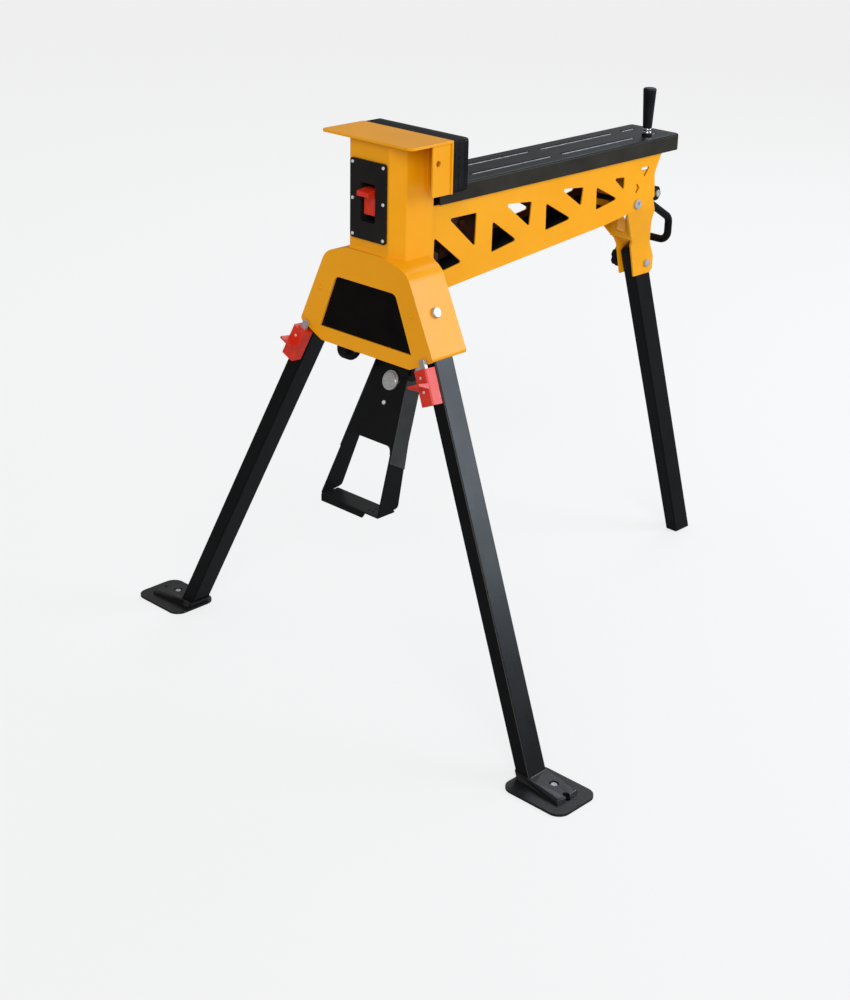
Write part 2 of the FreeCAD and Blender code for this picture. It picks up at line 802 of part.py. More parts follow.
def switch_lever():
    """Red lock lever: an upright stem with a thumb tab at its top."""
    y_tab = lever_face_y - lever_tab_out
    tab_bottom = lever_stem_top - lever_tab_thick
    rear = lever_pivot_y + lever_pin_r * 2
    points = [V(-lever_half, lever_face_y, lever_stem_bottom), V(-lever_half, lever_face_y, tab_bottom),
              V(-lever_half, y_tab, tab_bottom + lever_round), V(-lever_half, y_tab, lever_stem_top - lever_round),
              V(-lever_half, lever_face_y, lever_stem_top), V(-lever_half, lever_pivot_y, lever_stem_top),
              V(-lever_half, rear, lever_pivot_z), V(-lever_half, lever_pivot_y, lever_stem_bottom)]
    stem = prism(points, V(2 * lever_half, 0, 0))

    def tab_edge(edge):
        return edge.CenterOfMass.y < y_tab + lever_round

    stem = round_edges(stem, lever_round / 2, tab_edge)
    hole = rod(V(-switch_half, lever_pivot_y, lever_pivot_z), V(switch_half, lever_pivot_y, lever_pivot_z),
               lever_pin_r + pin_gap)
    return stem.cut(hole)


def leg_axes(side):
    """Unit vectors of a front leg: outwards, to the front, and up along it."""
    rake = math.radians(front_rake_deg)
    across = V(side * lean_cos, 0, lean_sin)
    up = V(-side * lean_sin * math.cos(rake), math.sin(rake), lean_cos * math.cos(rake))
    front = V(-side * lean_sin * math.sin(rake), -math.cos(rake), lean_cos * math.sin(rake))
    return across, front, up


def leg_point(side, out, front, up):
    """Point given by its distances from a front leg's pivot, along the leg's own axes."""
    a, f, u = leg_axes(side)
    return V(side * front_pivot_x, front_pivot_y, front_pivot_z) + a * out + f * front + u * up


def leg_bar(side, outs, fronts, ups):
    """Block in a front leg's own axes."""
    a = leg_axes(side)[0]
    corners = [(fronts[0], ups[0]), (fronts[1], ups[0]), (fronts[1], ups[1]), (fronts[0], ups[1])]
    points = [leg_point(side, outs[0], f, u) for f, u in corners]
    return prism(points, a * (outs[1] - outs[0]))


def above(shape, z):
    """The part of a shape that lies above a level."""
    reach = rear_foot_y * 2
    return shape.cut(box(-reach, reach, -reach, reach, z - reach, z))


leg_reach = front_pivot_z / lean_cos * leg_reach_share


def front_leg_tube(side):
    """Rectangular tube of a front leg, cut level where it meets the foot."""
    half = tube_width / 2
    deep = tube_depth / 2
    up = leg_axes(side)[2]
    across = leg_axes(side)[0]
    tube = leg_bar(side, (-half, half), (-deep, deep), (-leg_reach, front_head))
    tube = round_edges(tube, tube_round, lambda e: runs_along(e, up))
    head = leg_point(side, 0, 0, front_head)

    def crown(edge):
        return runs_along(edge, across) and (edge.CenterOfMass - head).dot(up) > -tube_wall

    tube = round_edges(tube, front_head_round, crown)
    inner = leg_bar(side, (-half + tube_wall, half - tube_wall), (-deep + tube_wall, deep - tube_wall),
                    (-leg_reach - cut_over, front_head - tube_wall * 2))
    tube = tube.cut(inner)
    bolt = rod(leg_point(side, -tube_width, 0, 0), leg_point(side, tube_width, 0, 0), front_bolt_r + pin_gap)
    tube = tube.cut(bolt)
    return above(tube, foot_thick)


def foot_middle():
    """Where the middle line of the right front leg meets the floor."""
    return leg_point(1, 0, 0, -front_pivot_z / leg_axes(1)[2].z)


def front_foot(side):
    """Foot of a front leg: a plate with a shallow socket for the tube and a ridge that widens to the toe."""
    middle = foot_middle()
    x0 = middle.x - foot_heel
    x1 = middle.x + foot_toe
    y0 = middle.y - foot_fore
    y1 = middle.y + foot_aft
    plate = box(x0, x1, y0, y1, 0, foot_thick)
    plate = round_edges(plate, (foot_fore + foot_aft) * foot_corner_share, lambda e: runs_along(e, Z_AXIS))
    half = tube_width / 2 + foot_socket_wall
    deep = tube_depth / 2 + foot_socket_wall
    socket = leg_bar(1, (-half, half), (-deep, deep), (-leg_reach, 0))
    up = leg_axes(1)[2]
    socket = round_edges(socket, tube_round + foot_socket_wall, lambda e: runs_along(e, up))
    slab = box(x0 - tube_width, x1, y0, y1 + tube_width, 0, foot_socket_high)
    socket = socket.common(slab)
    ground = foot_thick / 2
    toe_x = x1 - foot_toe_margin
    toe_y = (y0 + y1) / 2
    near_ring = [V(middle.x, middle.y - foot_ridge_half, ground), V(middle.x, middle.y + foot_ridge_half, ground),
                 V(middle.x, middle.y + foot_ridge_half, foot_socket_high),
                 V(middle.x, middle.y - foot_ridge_half, foot_socket_high)]
    far_ring = [V(toe_x, toe_y - foot_ridge_toe_half, ground), V(toe_x, toe_y + foot_ridge_toe_half, ground),
                V(toe_x, toe_y + foot_ridge_toe_half, foot_ridge_low),
                V(toe_x, toe_y - foot_ridge_toe_half, foot_ridge_low)]
    rings = [Part.makePolygon(points + [points[0]]) for points in (near_ring, far_ring)]
    ridge = Part.makeLoft(rings, True, True)
    foot = one([plate, socket, ridge])
    slack = seat_gap / 2
    room = leg_bar(1, (-tube_width / 2 - slack, tube_width / 2 + slack),
                   (-tube_depth / 2 - slack, tube_depth / 2 + slack), (-leg_reach, 0))
    foot = foot.cut(above(room, foot_thick))
    hole_x = middle.x + foot_hole_out
    slot = box(hole_x - foot_hole_long, hole_x + foot_hole_long, toe_y - foot_hole_r, toe_y + foot_hole_r,
               foot_hole_floor, foot_socket_high)
    slot = round_edges(slot, foot_hole_r * slot_round_share, lambda e: runs_along(e, Z_AXIS))
    foot = foot.cut(slot)
    seat = foot_screw_place() + V(0, 0, foot_screw_seat)
    foot = foot.cut(rod(seat, seat + V(0, 0, foot_socket_high), foot_washer_r + seat_gap))
    foot = foot.cut(rod(seat - V(0, 0, foot_screw_seat - foot_thick / 2), seat, foot_screw_r / 2))
    if side < 0:
        foot = mirrored(foot)
    return foot


def foot_screw_place():
    """Point on the floor under the screw of the right foot."""
    middle = foot_middle()
    return V(middle.x + foot_screw_out, middle.y, 0)


def foot_screw(side):
    """Screw and washer sunk in the ridge of a foot."""
    low = foot_screw_place()
    seat = low + V(0, 0, foot_screw_seat)
    washer = rod(seat, seat + V(0, 0, foot_washer), foot_washer_r)
    head = rod(seat, seat + V(0, 0, foot_washer + foot_screw_head), foot_screw_r)
    shank = rod(low + V(0, 0, foot_thick / 2), seat, foot_screw_r / 2)
    screw = one([washer, head, shank])
    if side < 0:
        screw = mirrored(screw)
    return screw


def leg_pivot_bolt(side):
    """Bolt through the skirt's side, the leg and the inner bracket, with its nut."""
    across = leg_axes(side)[0]
    out = skirt_side_out
    inner = -tube_width / 2 - leg_bracket_gap - sheet
    shank = rod(leg_point(side, inner - nut_high, 0, 0), leg_point(side, out, 0, 0), front_bolt_r)
    head = rod(leg_point(side, out, 0, 0), leg_point(side, out + front_bolt_head, 0, 0), front_bolt_head_r)
    edge_out = leg_point(side, out + front_bolt_head / 2, 0, 0)
    head = round_edges(head, front_bolt_head / 3, lambda e: (e.CenterOfMass - edge_out).dot(across) > 0)
    nut = hexagon(leg_point(side, inner - nut_high, 0, 0), across, nut_flats, nut_high)
    return one([shank, head, nut])


def leg_bracket(side):
    """Plate inside the skirt that carries the inner end of a leg's bolt."""
    across = V(lean_cos, 0, lean_sin)
    along = V(-lean_sin, 0, lean_cos)
    face = -tube_width / 2 - leg_bracket_gap
    pivot = V(front_pivot_x, skirt_front + sheet, front_pivot_z)
    points = [pivot + across * a + along * u for a, u in
              ((face, -leg_bracket_down), (face, leg_bracket_up), (face - sheet, leg_bracket_up),
               (face - sheet, -leg_bracket_down))]
    plate = prism(points, V(0, leg_bracket_back - skirt_front - sheet, 0))
    plate = plate.cut(rod(leg_point(1, -tube_depth, 0, 0), leg_point(1, 0, 0, 0), front_bolt_r))
    if side < 0:
        plate = mirrored(plate)
    return plate


def latch_body(side):
    """Red latch: a box open to the leg, with a thumb tab on its face."""
    half = tube_width / 2
    near = tube_depth / 2 + seat_gap
    far = near + latch_deep
    low = latch_top - latch_long
    up = leg_axes(side)[2]
    body = leg_bar(side, (-half, half), (near, far), (low, latch_top))
    body = round_edges(body, latch_round, lambda e: runs_along(e, up))
    room = leg_bar(side, (-half + latch_wall, half - latch_wall), (near + latch_wall, far - latch_wall),
                   (low - cut_over, latch_top - latch_wall))
    slot = leg_bar(side, (-latch_slot_half, latch_slot_half), (near - cut_over, near + latch_wall * 2),
                   (low - cut_over, latch_top - latch_slot_drop))
    thumb = latch_tab_thick / 2
    shelf = latch_top - latch_tab_drop
    tip = shelf + latch_tab_thick
    tab_points = [(far - latch_wall / 2, shelf - thumb), (far + latch_tab_out, tip - thumb),
                  (far + latch_tab_out, tip), (far - latch_wall / 2, tip - thumb / 2)]
    across = leg_axes(side)[0]
    points = [leg_point(side, -latch_tab_half, f, u) for f, u in tab_points]
    tab = prism(points, across * (2 * latch_tab_half))
    body = one([body.cut(room).cut(slot), tab])
    return body.cut(latch_bolt(side))


def latch_bolt(side):
    """Zinc bolt in the latch's top that stands before the skirt's lower edge."""
    return leg_bar(side, (-latch_bolt_half, latch_bolt_half),
                   (tube_depth / 2 + latch_bolt_near, tube_depth / 2 + latch_bolt_near + latch_bolt_deep),
                   (latch_top - latch_wall, latch_top + latch_bolt_rise))


def latch_rivets(side):
    """Two rivets in the face of a latch."""
    far = tube_depth / 2 + seat_gap + latch_deep
    rivets = []
    for row in range(2):
        up = latch_top - latch_rivet_drop - row * latch_rivet_pitch
        top = far + latch_rivet_head
        rivets.append(rod(leg_point(side, 0, far, up), leg_point(side, 0, top, up), latch_rivet_r))
    return Part.makeCompound(rivets)


def latch_guide(side):
    """Guide on the leg that the latch slides on."""
    near = tube_depth / 2
    high = latch_top - latch_guide_drop
    low = high - latch_guide_long
    step = near + seat_gap + latch_wall + seat_gap
    neck = leg_bar(side, (-latch_guide_neck, latch_guide_neck), (near, step), (low, high))
    head = leg_bar(side, (-latch_guide_half, latch_guide_half), (step, near + latch_guide_deep),
                   (low, high))
    return one([neck, head])


def rear_axes():
    """Unit vectors of the rear leg: to the front, and up along it."""
    lean = math.radians(rear_lean_deg)
    up = V(0, -math.sin(lean), math.cos(lean))
    front = V(0, -math.cos(lean), -math.sin(lean))
    return front, up


def rear_point(x, front, up):
    """Point given by distances along the rear leg's own axes, from the middle of its foot."""
    f, u = rear_axes()
    return V(x, rear_foot_y, 0) + f * front + u * up


def rear_bar(half, deep, ups):
    """Block along the rear leg."""
    f, u = rear_axes()
    points = [rear_point(-half, -deep, ups[0]), rear_point(-half, deep, ups[0]),
              rear_point(-half, deep, ups[1]), rear_point(-half, -deep, ups[1])]
    return prism(points, V(2 * half, 0, 0))


def rear_leg_tube():
    """Rectangular tube of the rear leg, cut level above its cap."""
    top = rear_pivot_z / math.cos(math.radians(rear_lean_deg)) + rear_head
    up = rear_axes()[1]
    tube = rear_bar(tube_width / 2, tube_depth / 2, (-tube_depth, top))
    tube = round_edges(tube, tube_round, lambda e: runs_along(e, up))
    crown = rear_point(0, 0, top - tube_wall)

    def crown_edge(edge):
        return runs_along(edge, X_AXIS) and (edge.CenterOfMass - crown).dot(up) > 0

    tube = round_edges(tube, front_head_round, crown_edge)
    inner = rear_bar(tube_width / 2 - tube_wall, tube_depth / 2 - tube_wall,
                     (-tube_depth - cut_over, top - tube_wall * 2))
    tube = tube.cut(inner)
    tube = tube.cut(rod(V(-tube_width, rear_pivot_y, rear_pivot_z), V(tube_width, rear_pivot_y, rear_pivot_z),
                        rear_bolt_r + pin_gap))
    return above(tube, rear_cap_high)


def rear_leg_cap():
    """Solid cap in the foot of the rear leg."""
    cap = rear_bar(tube_width / 2, tube_depth / 2, (-tube_depth, tube_depth * 2))
    up = rear_axes()[1]
    cap = round_edges(cap, tube_round, lambda e: runs_along(e, up))
    reach = rear_foot_y
    slab = box(-reach, reach, 0, reach * 2, 0, rear_cap_high)
    cap = cap.common(slab)
    cap = round_edges(cap, rear_cap_round, lambda e: e.CenterOfMass.z < rear_cap_round / 4)
    slack = tube_wall + seat_gap
    plug = rear_bar(tube_width / 2 - slack, tube_depth / 2 - slack, (0, tube_depth * 2))
    plug = plug.common(box(-reach, reach, 0, reach * 2, rear_cap_high / 2, rear_cap_high * 2))
    return one([cap, plug])


yoke_low_out = tube_width / 2 + leg_side_gap + sheet


def yoke_side():
    """One side plate of the rear yoke, joggled in to the leg's width."""
    top_out = truss_in
    low_out = yoke_low_out
    profile = [V(top_out, 0, yoke_top), V(top_out, 0, yoke_joggle_top), V(low_out, 0, yoke_joggle_bottom),
               V(low_out, 0, yoke_low_bottom), V(low_out - sheet, 0, yoke_low_bottom),
               V(low_out - sheet, 0, yoke_joggle_bottom + sheet), V(top_out - sheet, 0, yoke_joggle_top + sheet),
               V(top_out - sheet, 0, yoke_top)]
    profile = [p + V(0, yoke_front - cut_over, 0) for p in profile]
    deep = yoke_low_back - yoke_front
    high = yoke_top - yoke_low_bottom
    plate = prism(profile, V(0, deep + 2 * cut_over, 0))
    outline = [V(0, yoke_front + deep * y, yoke_low_bottom + high * z) for y, z in yoke_outline_shares]
    shape = prism(outline, V(truss_out, 0, 0))
    return plate.common(shape)


def yoke_reach(z):
    """Half width over the yoke's plates at a height within their joggle."""
    share = (z - yoke_joggle_bottom) / (yoke_joggle_top - yoke_joggle_bottom)
    return yoke_low_out + (truss_in - yoke_low_out) * share


def yoke_apron():
    """Notched plate across the front of the yoke, over the head of the leg."""
    low = yoke_joggle_bottom + yoke_apron_rise
    high = low + yoke_apron_high
    y0 = yoke_front + yoke_apron_y
    slack = sheet / 2
    points = [V(-yoke_reach(low) + slack, y0, low), V(yoke_reach(low) - slack, y0, low),
              V(yoke_reach(high) - slack, y0, high), V(-yoke_reach(high) + slack, y0, high)]
    apron = prism(points, V(0, sheet, 0))
    notch = box(-yoke_notch_half, yoke_notch_half, y0 - cut_over, y0 + cut_over, low + yoke_notch_rise,
                high + cut_over)
    notch = round_edges(notch, yoke_notch_half / 2, lambda e: runs_along(e, Y_AXIS))
    return apron.cut(notch)


def rear_yoke():
    """Both yoke plates, the web that joins them behind the trusses and the apron in front."""
    side = yoke_side()
    half = truss_in - sheet / 2
    web = box(-half, half, yoke_web_back - sheet, yoke_web_back, yoke_web_bottom, yoke_web_top)
    hole = rod(V(-truss_out, yoke_bolt_y, yoke_bolt_z), V(truss_out, yoke_bolt_y, yoke_bolt_z), yoke_bolt_r)
    low = rod(V(-truss_out, rear_pivot_y, rear_pivot_z), V(truss_out, rear_pivot_y, rear_pivot_z), rear_bolt_r)
    return one([side, mirrored(side), web, yoke_apron()]).cut(hole).cut(low)


def rear_pivot_bolt():
    """Bolt on which the rear leg turns, its threaded end towards the knob."""
    out = yoke_low_out
    end = V(out, rear_pivot_y, rear_pivot_z)
    shank = rod(mirror_point(end) - V(rear_stud_long, 0, 0), end, rear_bolt_r)
    head = hexagon(V(out, rear_pivot_y, rear_pivot_z), X_AXIS, nut_flats * bolt_head_share, yoke_bolt_head)
    return one([shank, head])


def lock_knob():
    """Lobed knob that clamps the rear leg in its yoke."""
    start = -yoke_low_out - seat_gap
    centre = V(start, rear_pivot_y, rear_pivot_z)
    knob = rod(centre, centre - V(knob_thick, 0, 0), knob_r)
    for lobe in range(knob_lobes):
        turn = 2 * math.pi * lobe / knob_lobes
        spoke = V(0, math.cos(turn), math.sin(turn)) * (knob_r + knob_flute_r / 2)
        start = centre + spoke + V(cut_over, 0, 0)
        flute = rod(start, start - V(knob_thick + 2 * cut_over, 0, 0), knob_flute_r)
        knob = knob.cut(flute)
    bore = rod(centre + V(cut_over, 0, 0), centre - V(rear_stud_long + cut_over, 0, 0), rear_bolt_r + pin_gap)
    return knob.cut(bore)


def truss_point(x, long, deep):
    """Point of a truss, given by its shares of the length and of the depth."""
    return V(x, truss_front + truss_long * long, truss_bottom + truss_deep * deep)


def truss_plate():
    """Right truss: a cut plate with a rail folded inwards along its top."""
    plate = prism([truss_point(truss_in, y, z) for y, z in truss_outline_shares], V(sheet, 0, 0))

    def corner(edge):
        middle = edge.CenterOfMass
        behind = middle.y > truss_back - yoke_long + cut_over
        return runs_along(edge, X_AXIS) and behind and middle.z < truss_top - cut_over

    plate = round_edges(plate, truss_round, corner)
    rail = box(truss_out - truss_lip, truss_out, truss_front, truss_back, truss_top - sheet, truss_top)
    plate = one([plate, rail])
    for window in truss_window_shares:
        hole = prism([truss_point(truss_in - sheet, y, z) for y, z in window], V(sheet * 3, 0, 0))
        hole = round_edges(hole, truss_round / 2, lambda e: runs_along(e, X_AXIS))
        plate = plate.cut(hole)
    bolt = rod(V(truss_in - sheet, yoke_bolt_y, yoke_bolt_z), V(truss_out + sheet, yoke_bolt_y, yoke_bolt_z),
               yoke_bolt_r)
    return plate.cut(bolt)


def truss_edge(y):
    """Height of the truss's lower edge at a place along it."""
    foot, bend = truss_outline_shares[-1], truss_outline_shares[-2]
    heel = truss_outline_shares[-3]
    share = (y - truss_front) / truss_long
    first, last = (foot, bend) if share < bend[0] else (bend, heel)
    part = (share - first[0]) / (last[0] - first[0])
    return truss_bottom + truss_deep * (first[1] + (last[1] - first[1]) * part)


def beam_tray():
    """Folded tray between the trusses, its floor along their lower edges."""
    bend_y = truss_front + truss_long * truss_outline_shares[-2][0]
    places = (pedal_bracket_back + tray_end_gap, bend_y, yoke_front - tray_end_gap)
    low = [V(-truss_in, y, truss_edge(y) + tray_rise) for y in places]
    floor = prism(low + [p + V(0, 0, tray_sheet) for p in reversed(low)], V(2 * truss_in, 0, 0))
    flange = prism(low + [p + V(0, 0, tray_flange) for p in reversed(low)], V(tray_sheet, 0, 0))
    return one([floor, flange, mirrored(flange)])


def yoke_bolt():
    """Socket-head bolt through the trusses and the yoke."""
    y, z = yoke_bolt_y, yoke_bolt_z
    shank = rod(V(-truss_out, y, z), V(truss_out, y, z), yoke_bolt_r)
    head = rod(V(truss_out, y, z), V(truss_out + yoke_bolt_head, y, z), yoke_bolt_head_r)
    seat = V(truss_out + yoke_bolt_head / 3, y, z)
    socket = hexagon(seat, X_AXIS, yoke_bolt_r * yoke_socket_share, yoke_bolt_head)
    nut = hexagon(V(-truss_out - nut_high, y, z), X_AXIS, nut_flats, nut_high)
    return one([shank, head, nut]).cut(socket)


def slide_beam():
    """Sliding beam: an inverted channel with long beads along its top."""
    block = box(-slide_half, slide_half, slide_front, slide_back, slide_bottom, slide_top)

    def rear_corner(edge):
        return runs_along(edge, Z_AXIS) and edge.CenterOfMass.y > slide_front + cut_over

    def top_edge(edge):
        return edge.CenterOfMass.z > slide_top - sheet / 4 and edge.CenterOfMass.y > slide_front + touch

    block = round_edges(block, slide_corner, rear_corner)
    block = round_edges(block, slide_edge, top_edge)
    room = box(-slide_half + slide_wall, slide_half - slide_wall, slide_front - cut_over, slide_back - slide_wall,
               slide_bottom - cut_over, slide_top - slide_wall)
    room = round_edges(room, slide_corner - slide_wall, rear_corner)
    beam = block.cut(room)
    span = slide_back - slide_front
    for side in (-1, 1):
        start = slide_front + span * bead_start_share
        for share in bead_long_shares:
            groove = box(side * bead_x - bead_half, side * bead_x + bead_half, start, start + span * share,
                         slide_top - bead_deep, slide_top + cut_over)
            groove = round_edges(groove, bead_half * slot_round_share, lambda e: runs_along(e, Z_AXIS))
            beam = beam.cut(groove)
            start = start + span * bead_pitch_share
    low = slide_top - slide_wall
    foot = V(handle_x, handle_y, low - cut_over)
    return beam.cut(rod(foot, V(handle_x, handle_y, slide_top + cut_over), handle_stud_r))


def runners():
    """Guide blocks under the beam that run between and beneath the rails."""
    blocks = []
    span = slide_back - slide_front
    for first, last in runner_shares:
        y0 = slide_front + span * first
        y1 = slide_front + span * last
        neck = box(-runner_half, runner_half, y0, y1, runner_low, slide_top - slide_wall)
        wing = box(-runner_wing, runner_wing, y0, y1, runner_low, truss_top - sheet - seat_gap)
        blocks.append(one([neck, wing]))
    return Part.makeCompound(blocks)


def jaw_plate():
    """Upright plate of the sliding jaw with its toes on the beam."""
    y0 = jaw_plate_front
    y1 = y0 + jaw_plate_thick
    plate = box(-jaw_half, jaw_half, y0, y1, jaw_bottom, jaw_top)
    plate = round_edges(plate, pad_edge, lambda e: runs_along(e, Y_AXIS))
    toe = prism([V(-slide_half + slide_edge, y1, slide_top), V(-slide_half + slide_edge, y1 + jaw_toe, slide_top),
                 V(-slide_half + slide_edge, y1, slide_top + jaw_toe)], V(2 * (slide_half - slide_edge), 0, 0))
    return one([plate, toe])


def handle_foot():
    """Stud and foot of the push handle."""
    x, y = handle_x, handle_y
    foot = rod(V(x, y, slide_top), V(x, y, slide_top + handle_foot_high), handle_foot_r)
    top = slide_top + handle_foot_high + handle_ring_high * handle_ring_count + grip_high * grip_stud_share
    stud = rod(V(x, y, slide_top - slide_wall), V(x, y, top), handle_stud_r)
    return one([foot, stud])


def handle_rings():
    """Chrome collars between the handle's foot and its grip."""
    rings = []
    z = slide_top + handle_foot_high
    for row in range(handle_ring_count):
        ring = rod(V(handle_x, handle_y, z), V(handle_x, handle_y, z + handle_ring_high), handle_ring_r)
        ring = round_edges(ring, handle_ring_high / 3, lambda e: True)
        bore = rod(V(handle_x, handle_y, z - cut_over), V(handle_x, handle_y, z + cut_over), handle_stud_r)
        ring = ring.cut(bore)
        rings.append(ring)
        z = z + handle_ring_high
    return Part.makeCompound(rings)


def handle_grip():
    """Tapered grip that turns on the handle's stud."""
    z0 = slide_top + handle_foot_high + handle_ring_high * handle_ring_count + seat_gap
    grip = Part.makeCone(grip_low_r, grip_top_r, grip_high, V(handle_x, handle_y, z0), Z_AXIS)
    grip = round_edges(grip, grip_round, lambda e: e.CenterOfMass.z > z0 + grip_high / 2 and e.Closed)
    bore_top = V(handle_x, handle_y, z0 + grip_high * grip_bore_share)
    bore = rod(V(handle_x, handle_y, z0 - cut_over), bore_top, handle_stud_r + pin_gap)
    return grip.cut(bore)


def bent_tube(points, bend, radius):
    """Round bar along straight runs with bends of one radius."""
    pieces = []
    start = points[0]
    for i in range(1, len(points) - 1):
        before = (points[i] - points[i - 1]).normalize()
        after = (points[i + 1] - points[i]).normalize()
        turn = before.getAngle(after)
        cut = bend * math.tan(turn / 2)
        a = points[i] - before * cut
        b = points[i] + after * cut
        middle = points[i] + (after - before).normalize() * (bend / math.cos(turn / 2) - bend)
        pieces.append(Part.makeLine(start, a))
        pieces.append(Part.Arc(a, middle, b).toShape())
        start = b
    pieces.append(Part.makeLine(start, points[-1]))
    path = Part.Wire(pieces)
    along = (points[1] - points[0]).normalize()
    ring = Part.Wire([Part.makeCircle(radius, points[0], along)])
    return path.makePipeShell([ring], True, False)


def carry_handle():
    """U-shaped carry handle of round bar, welded between two bolted ears."""
    y0 = yoke_web_back
    half = carry_half
    z0 = carry_mount_z
    y1 = y0 + carry_out
    z1 = z0 - carry_drop
    points = [V(half, y0, z0), V(half, y1, z0 - carry_fall), V(half, y1, z1),
              V(-half, y1, z1), V(-half, y1, z0 - carry_fall), V(-half, y0, z0)]
    tube = bent_tube(points, carry_bend, carry_tube_r)
    ear = box(half - carry_ear_half, half + carry_ear_half, y0, y0 + carry_ear_long, z0 - carry_ear_low,
              z0 + carry_ear_high)
    ear = round_edges(ear, carry_ear_round, lambda e: runs_along(e, X_AXIS) and e.CenterOfMass.y > y0 + cut_over)
    handle = one([tube, ear, mirrored(ear)])
    handle = handle.cut(box(-half * 2, half * 2, y0 - cut_over, y0, z1, z0 + cut_over * 2))
    start, end = carry_bolt_line()
    hole = rod(start, end, carry_bolt_r)
    return handle.cut(hole).cut(mirrored(hole))


def carry_bolt_line():
    """Both ends of the shank of the right ear's bolt."""
    y = yoke_web_back + carry_bolt_out
    z = carry_mount_z + carry_bolt_rise
    return V(carry_half - carry_ear_half, y, z), V(carry_half + carry_ear_half, y, z)


def carry_bolt():
    """Bolt through the right ear of the carry handle, with a head on each side."""
    start, end = carry_bolt_line()
    out = V(carry_bolt_head, 0, 0)
    shank = rod(start, end, carry_bolt_r)
    head = rod(end, end + out, carry_bolt_head_r)
    return one([shank, head, rod(start - out, start, carry_bolt_head_r)])


def wheel():
    """Transport wheel of the right side."""
    x0 = wheel_x - wheel_wide / 2
    tyre = rod(V(x0, wheel_y, wheel_z), V(x0 + wheel_wide, wheel_y, wheel_z), wheel_r)
    tyre = round_edges(tyre, wheel_round, lambda e: e.Closed and not isinstance(e.Curve, Part.Line))
    bore = rod(V(0, wheel_y, wheel_z), V(wheel_x * 2, wheel_y, wheel_z), wheel_axle_r + pin_gap)
    return tyre.cut(bore)


def wheel_bracket():
    """Fork inside the skirt that holds the right wheel."""
    inner = wheel_wide / 2 + wheel_side_gap
    y0 = skirt_front + sheet
    y1 = wheel_y + wheel_bracket_aft
    cheeks = []
    for side in (-1, 1):
        a = wheel_x + side * inner
        b = a + side * sheet
        cheek = box(min(a, b), max(a, b), wheel_y - wheel_cheek_fore, y1, wheel_z - wheel_axle_r * 2,
                    wheel_bracket_top)
        cheeks.append(cheek)
    top = box(wheel_x - inner - sheet, wheel_x + inner + sheet, y0, y1,
              wheel_bracket_top, wheel_bracket_top + sheet)
    hole = rod(V(wheel_x - wheel_r, wheel_y, wheel_z), V(wheel_x + wheel_r, wheel_y, wheel_z), wheel_axle_r)
    return one(cheeks + [top]).cut(hole)


def wheel_axle():
    """Axle of the right wheel with a head at each end."""
    inner = wheel_wide / 2 + wheel_side_gap + sheet
    shank = rod(V(wheel_x - inner, wheel_y, wheel_z), V(wheel_x + inner, wheel_y, wheel_z), wheel_axle_r)
    ends = []
    for side in (-1, 1):
        a = V(wheel_x + side * inner, wheel_y, wheel_z)
        ends.append(rod(a, a + V(side * wheel_axle_r / 2, 0, 0), wheel_axle_r * axle_head_share))
    return one([shank] + ends)


pedal_slope = (pedal_top_y - pedal_low_y) / (pedal_top_z - pedal_low_z)
pedal_flare = (pedal_half_low - pedal_half_top) / (pedal_top_z - pedal_low_z)


def pedal_y(z):
    """Y of the pedal's face at a height."""
    return pedal_top_y + (z - pedal_top_z) * pedal_slope


def pedal_half(z):
    """Half width of the pedal at a height."""
    return pedal_half_top + (pedal_top_z - z) * pedal_flare


def pedal_slab(half_low, half_high, z0, z1, near, far):
    """Slanted slab that follows the pedal's face, between two depths behind it."""
    fronts = [V(-half_low, pedal_y(z0) + near, z0), V(half_low, pedal_y(z0) + near, z0),
              V(half_high, pedal_y(z1) + near, z1), V(-half_high, pedal_y(z1) + near, z1)]
    return prism(fronts, V(0, far - near, 0))


def pedal_ear(inner, outer, z0, grow):
    """Ear from a height on the pedal's side up to its axle, between two values of X."""
    y0 = pedal_y(z0)
    y1 = y0 + pedal_flange_top
    r = pedal_ear_r + grow
    points = [V(inner, y0, z0), V(inner, y1, z0), V(inner, pedal_pivot_y + r, pedal_pivot_z),
              V(inner, pedal_pivot_y - r, pedal_pivot_z)]
    blade = prism(points, V(outer - inner, 0, 0))
    eye = rod(V(inner, pedal_pivot_y, pedal_pivot_z), V(outer, pedal_pivot_y, pedal_pivot_z), r)
    return one([blade, eye])


def pedal_axle_hole():
    """Running hole for the pedal's axle."""
    half = pedal_half_low
    return rod(V(-half, pedal_pivot_y, pedal_pivot_z), V(half, pedal_pivot_y, pedal_pivot_z), pedal_axle_r + pin_gap)


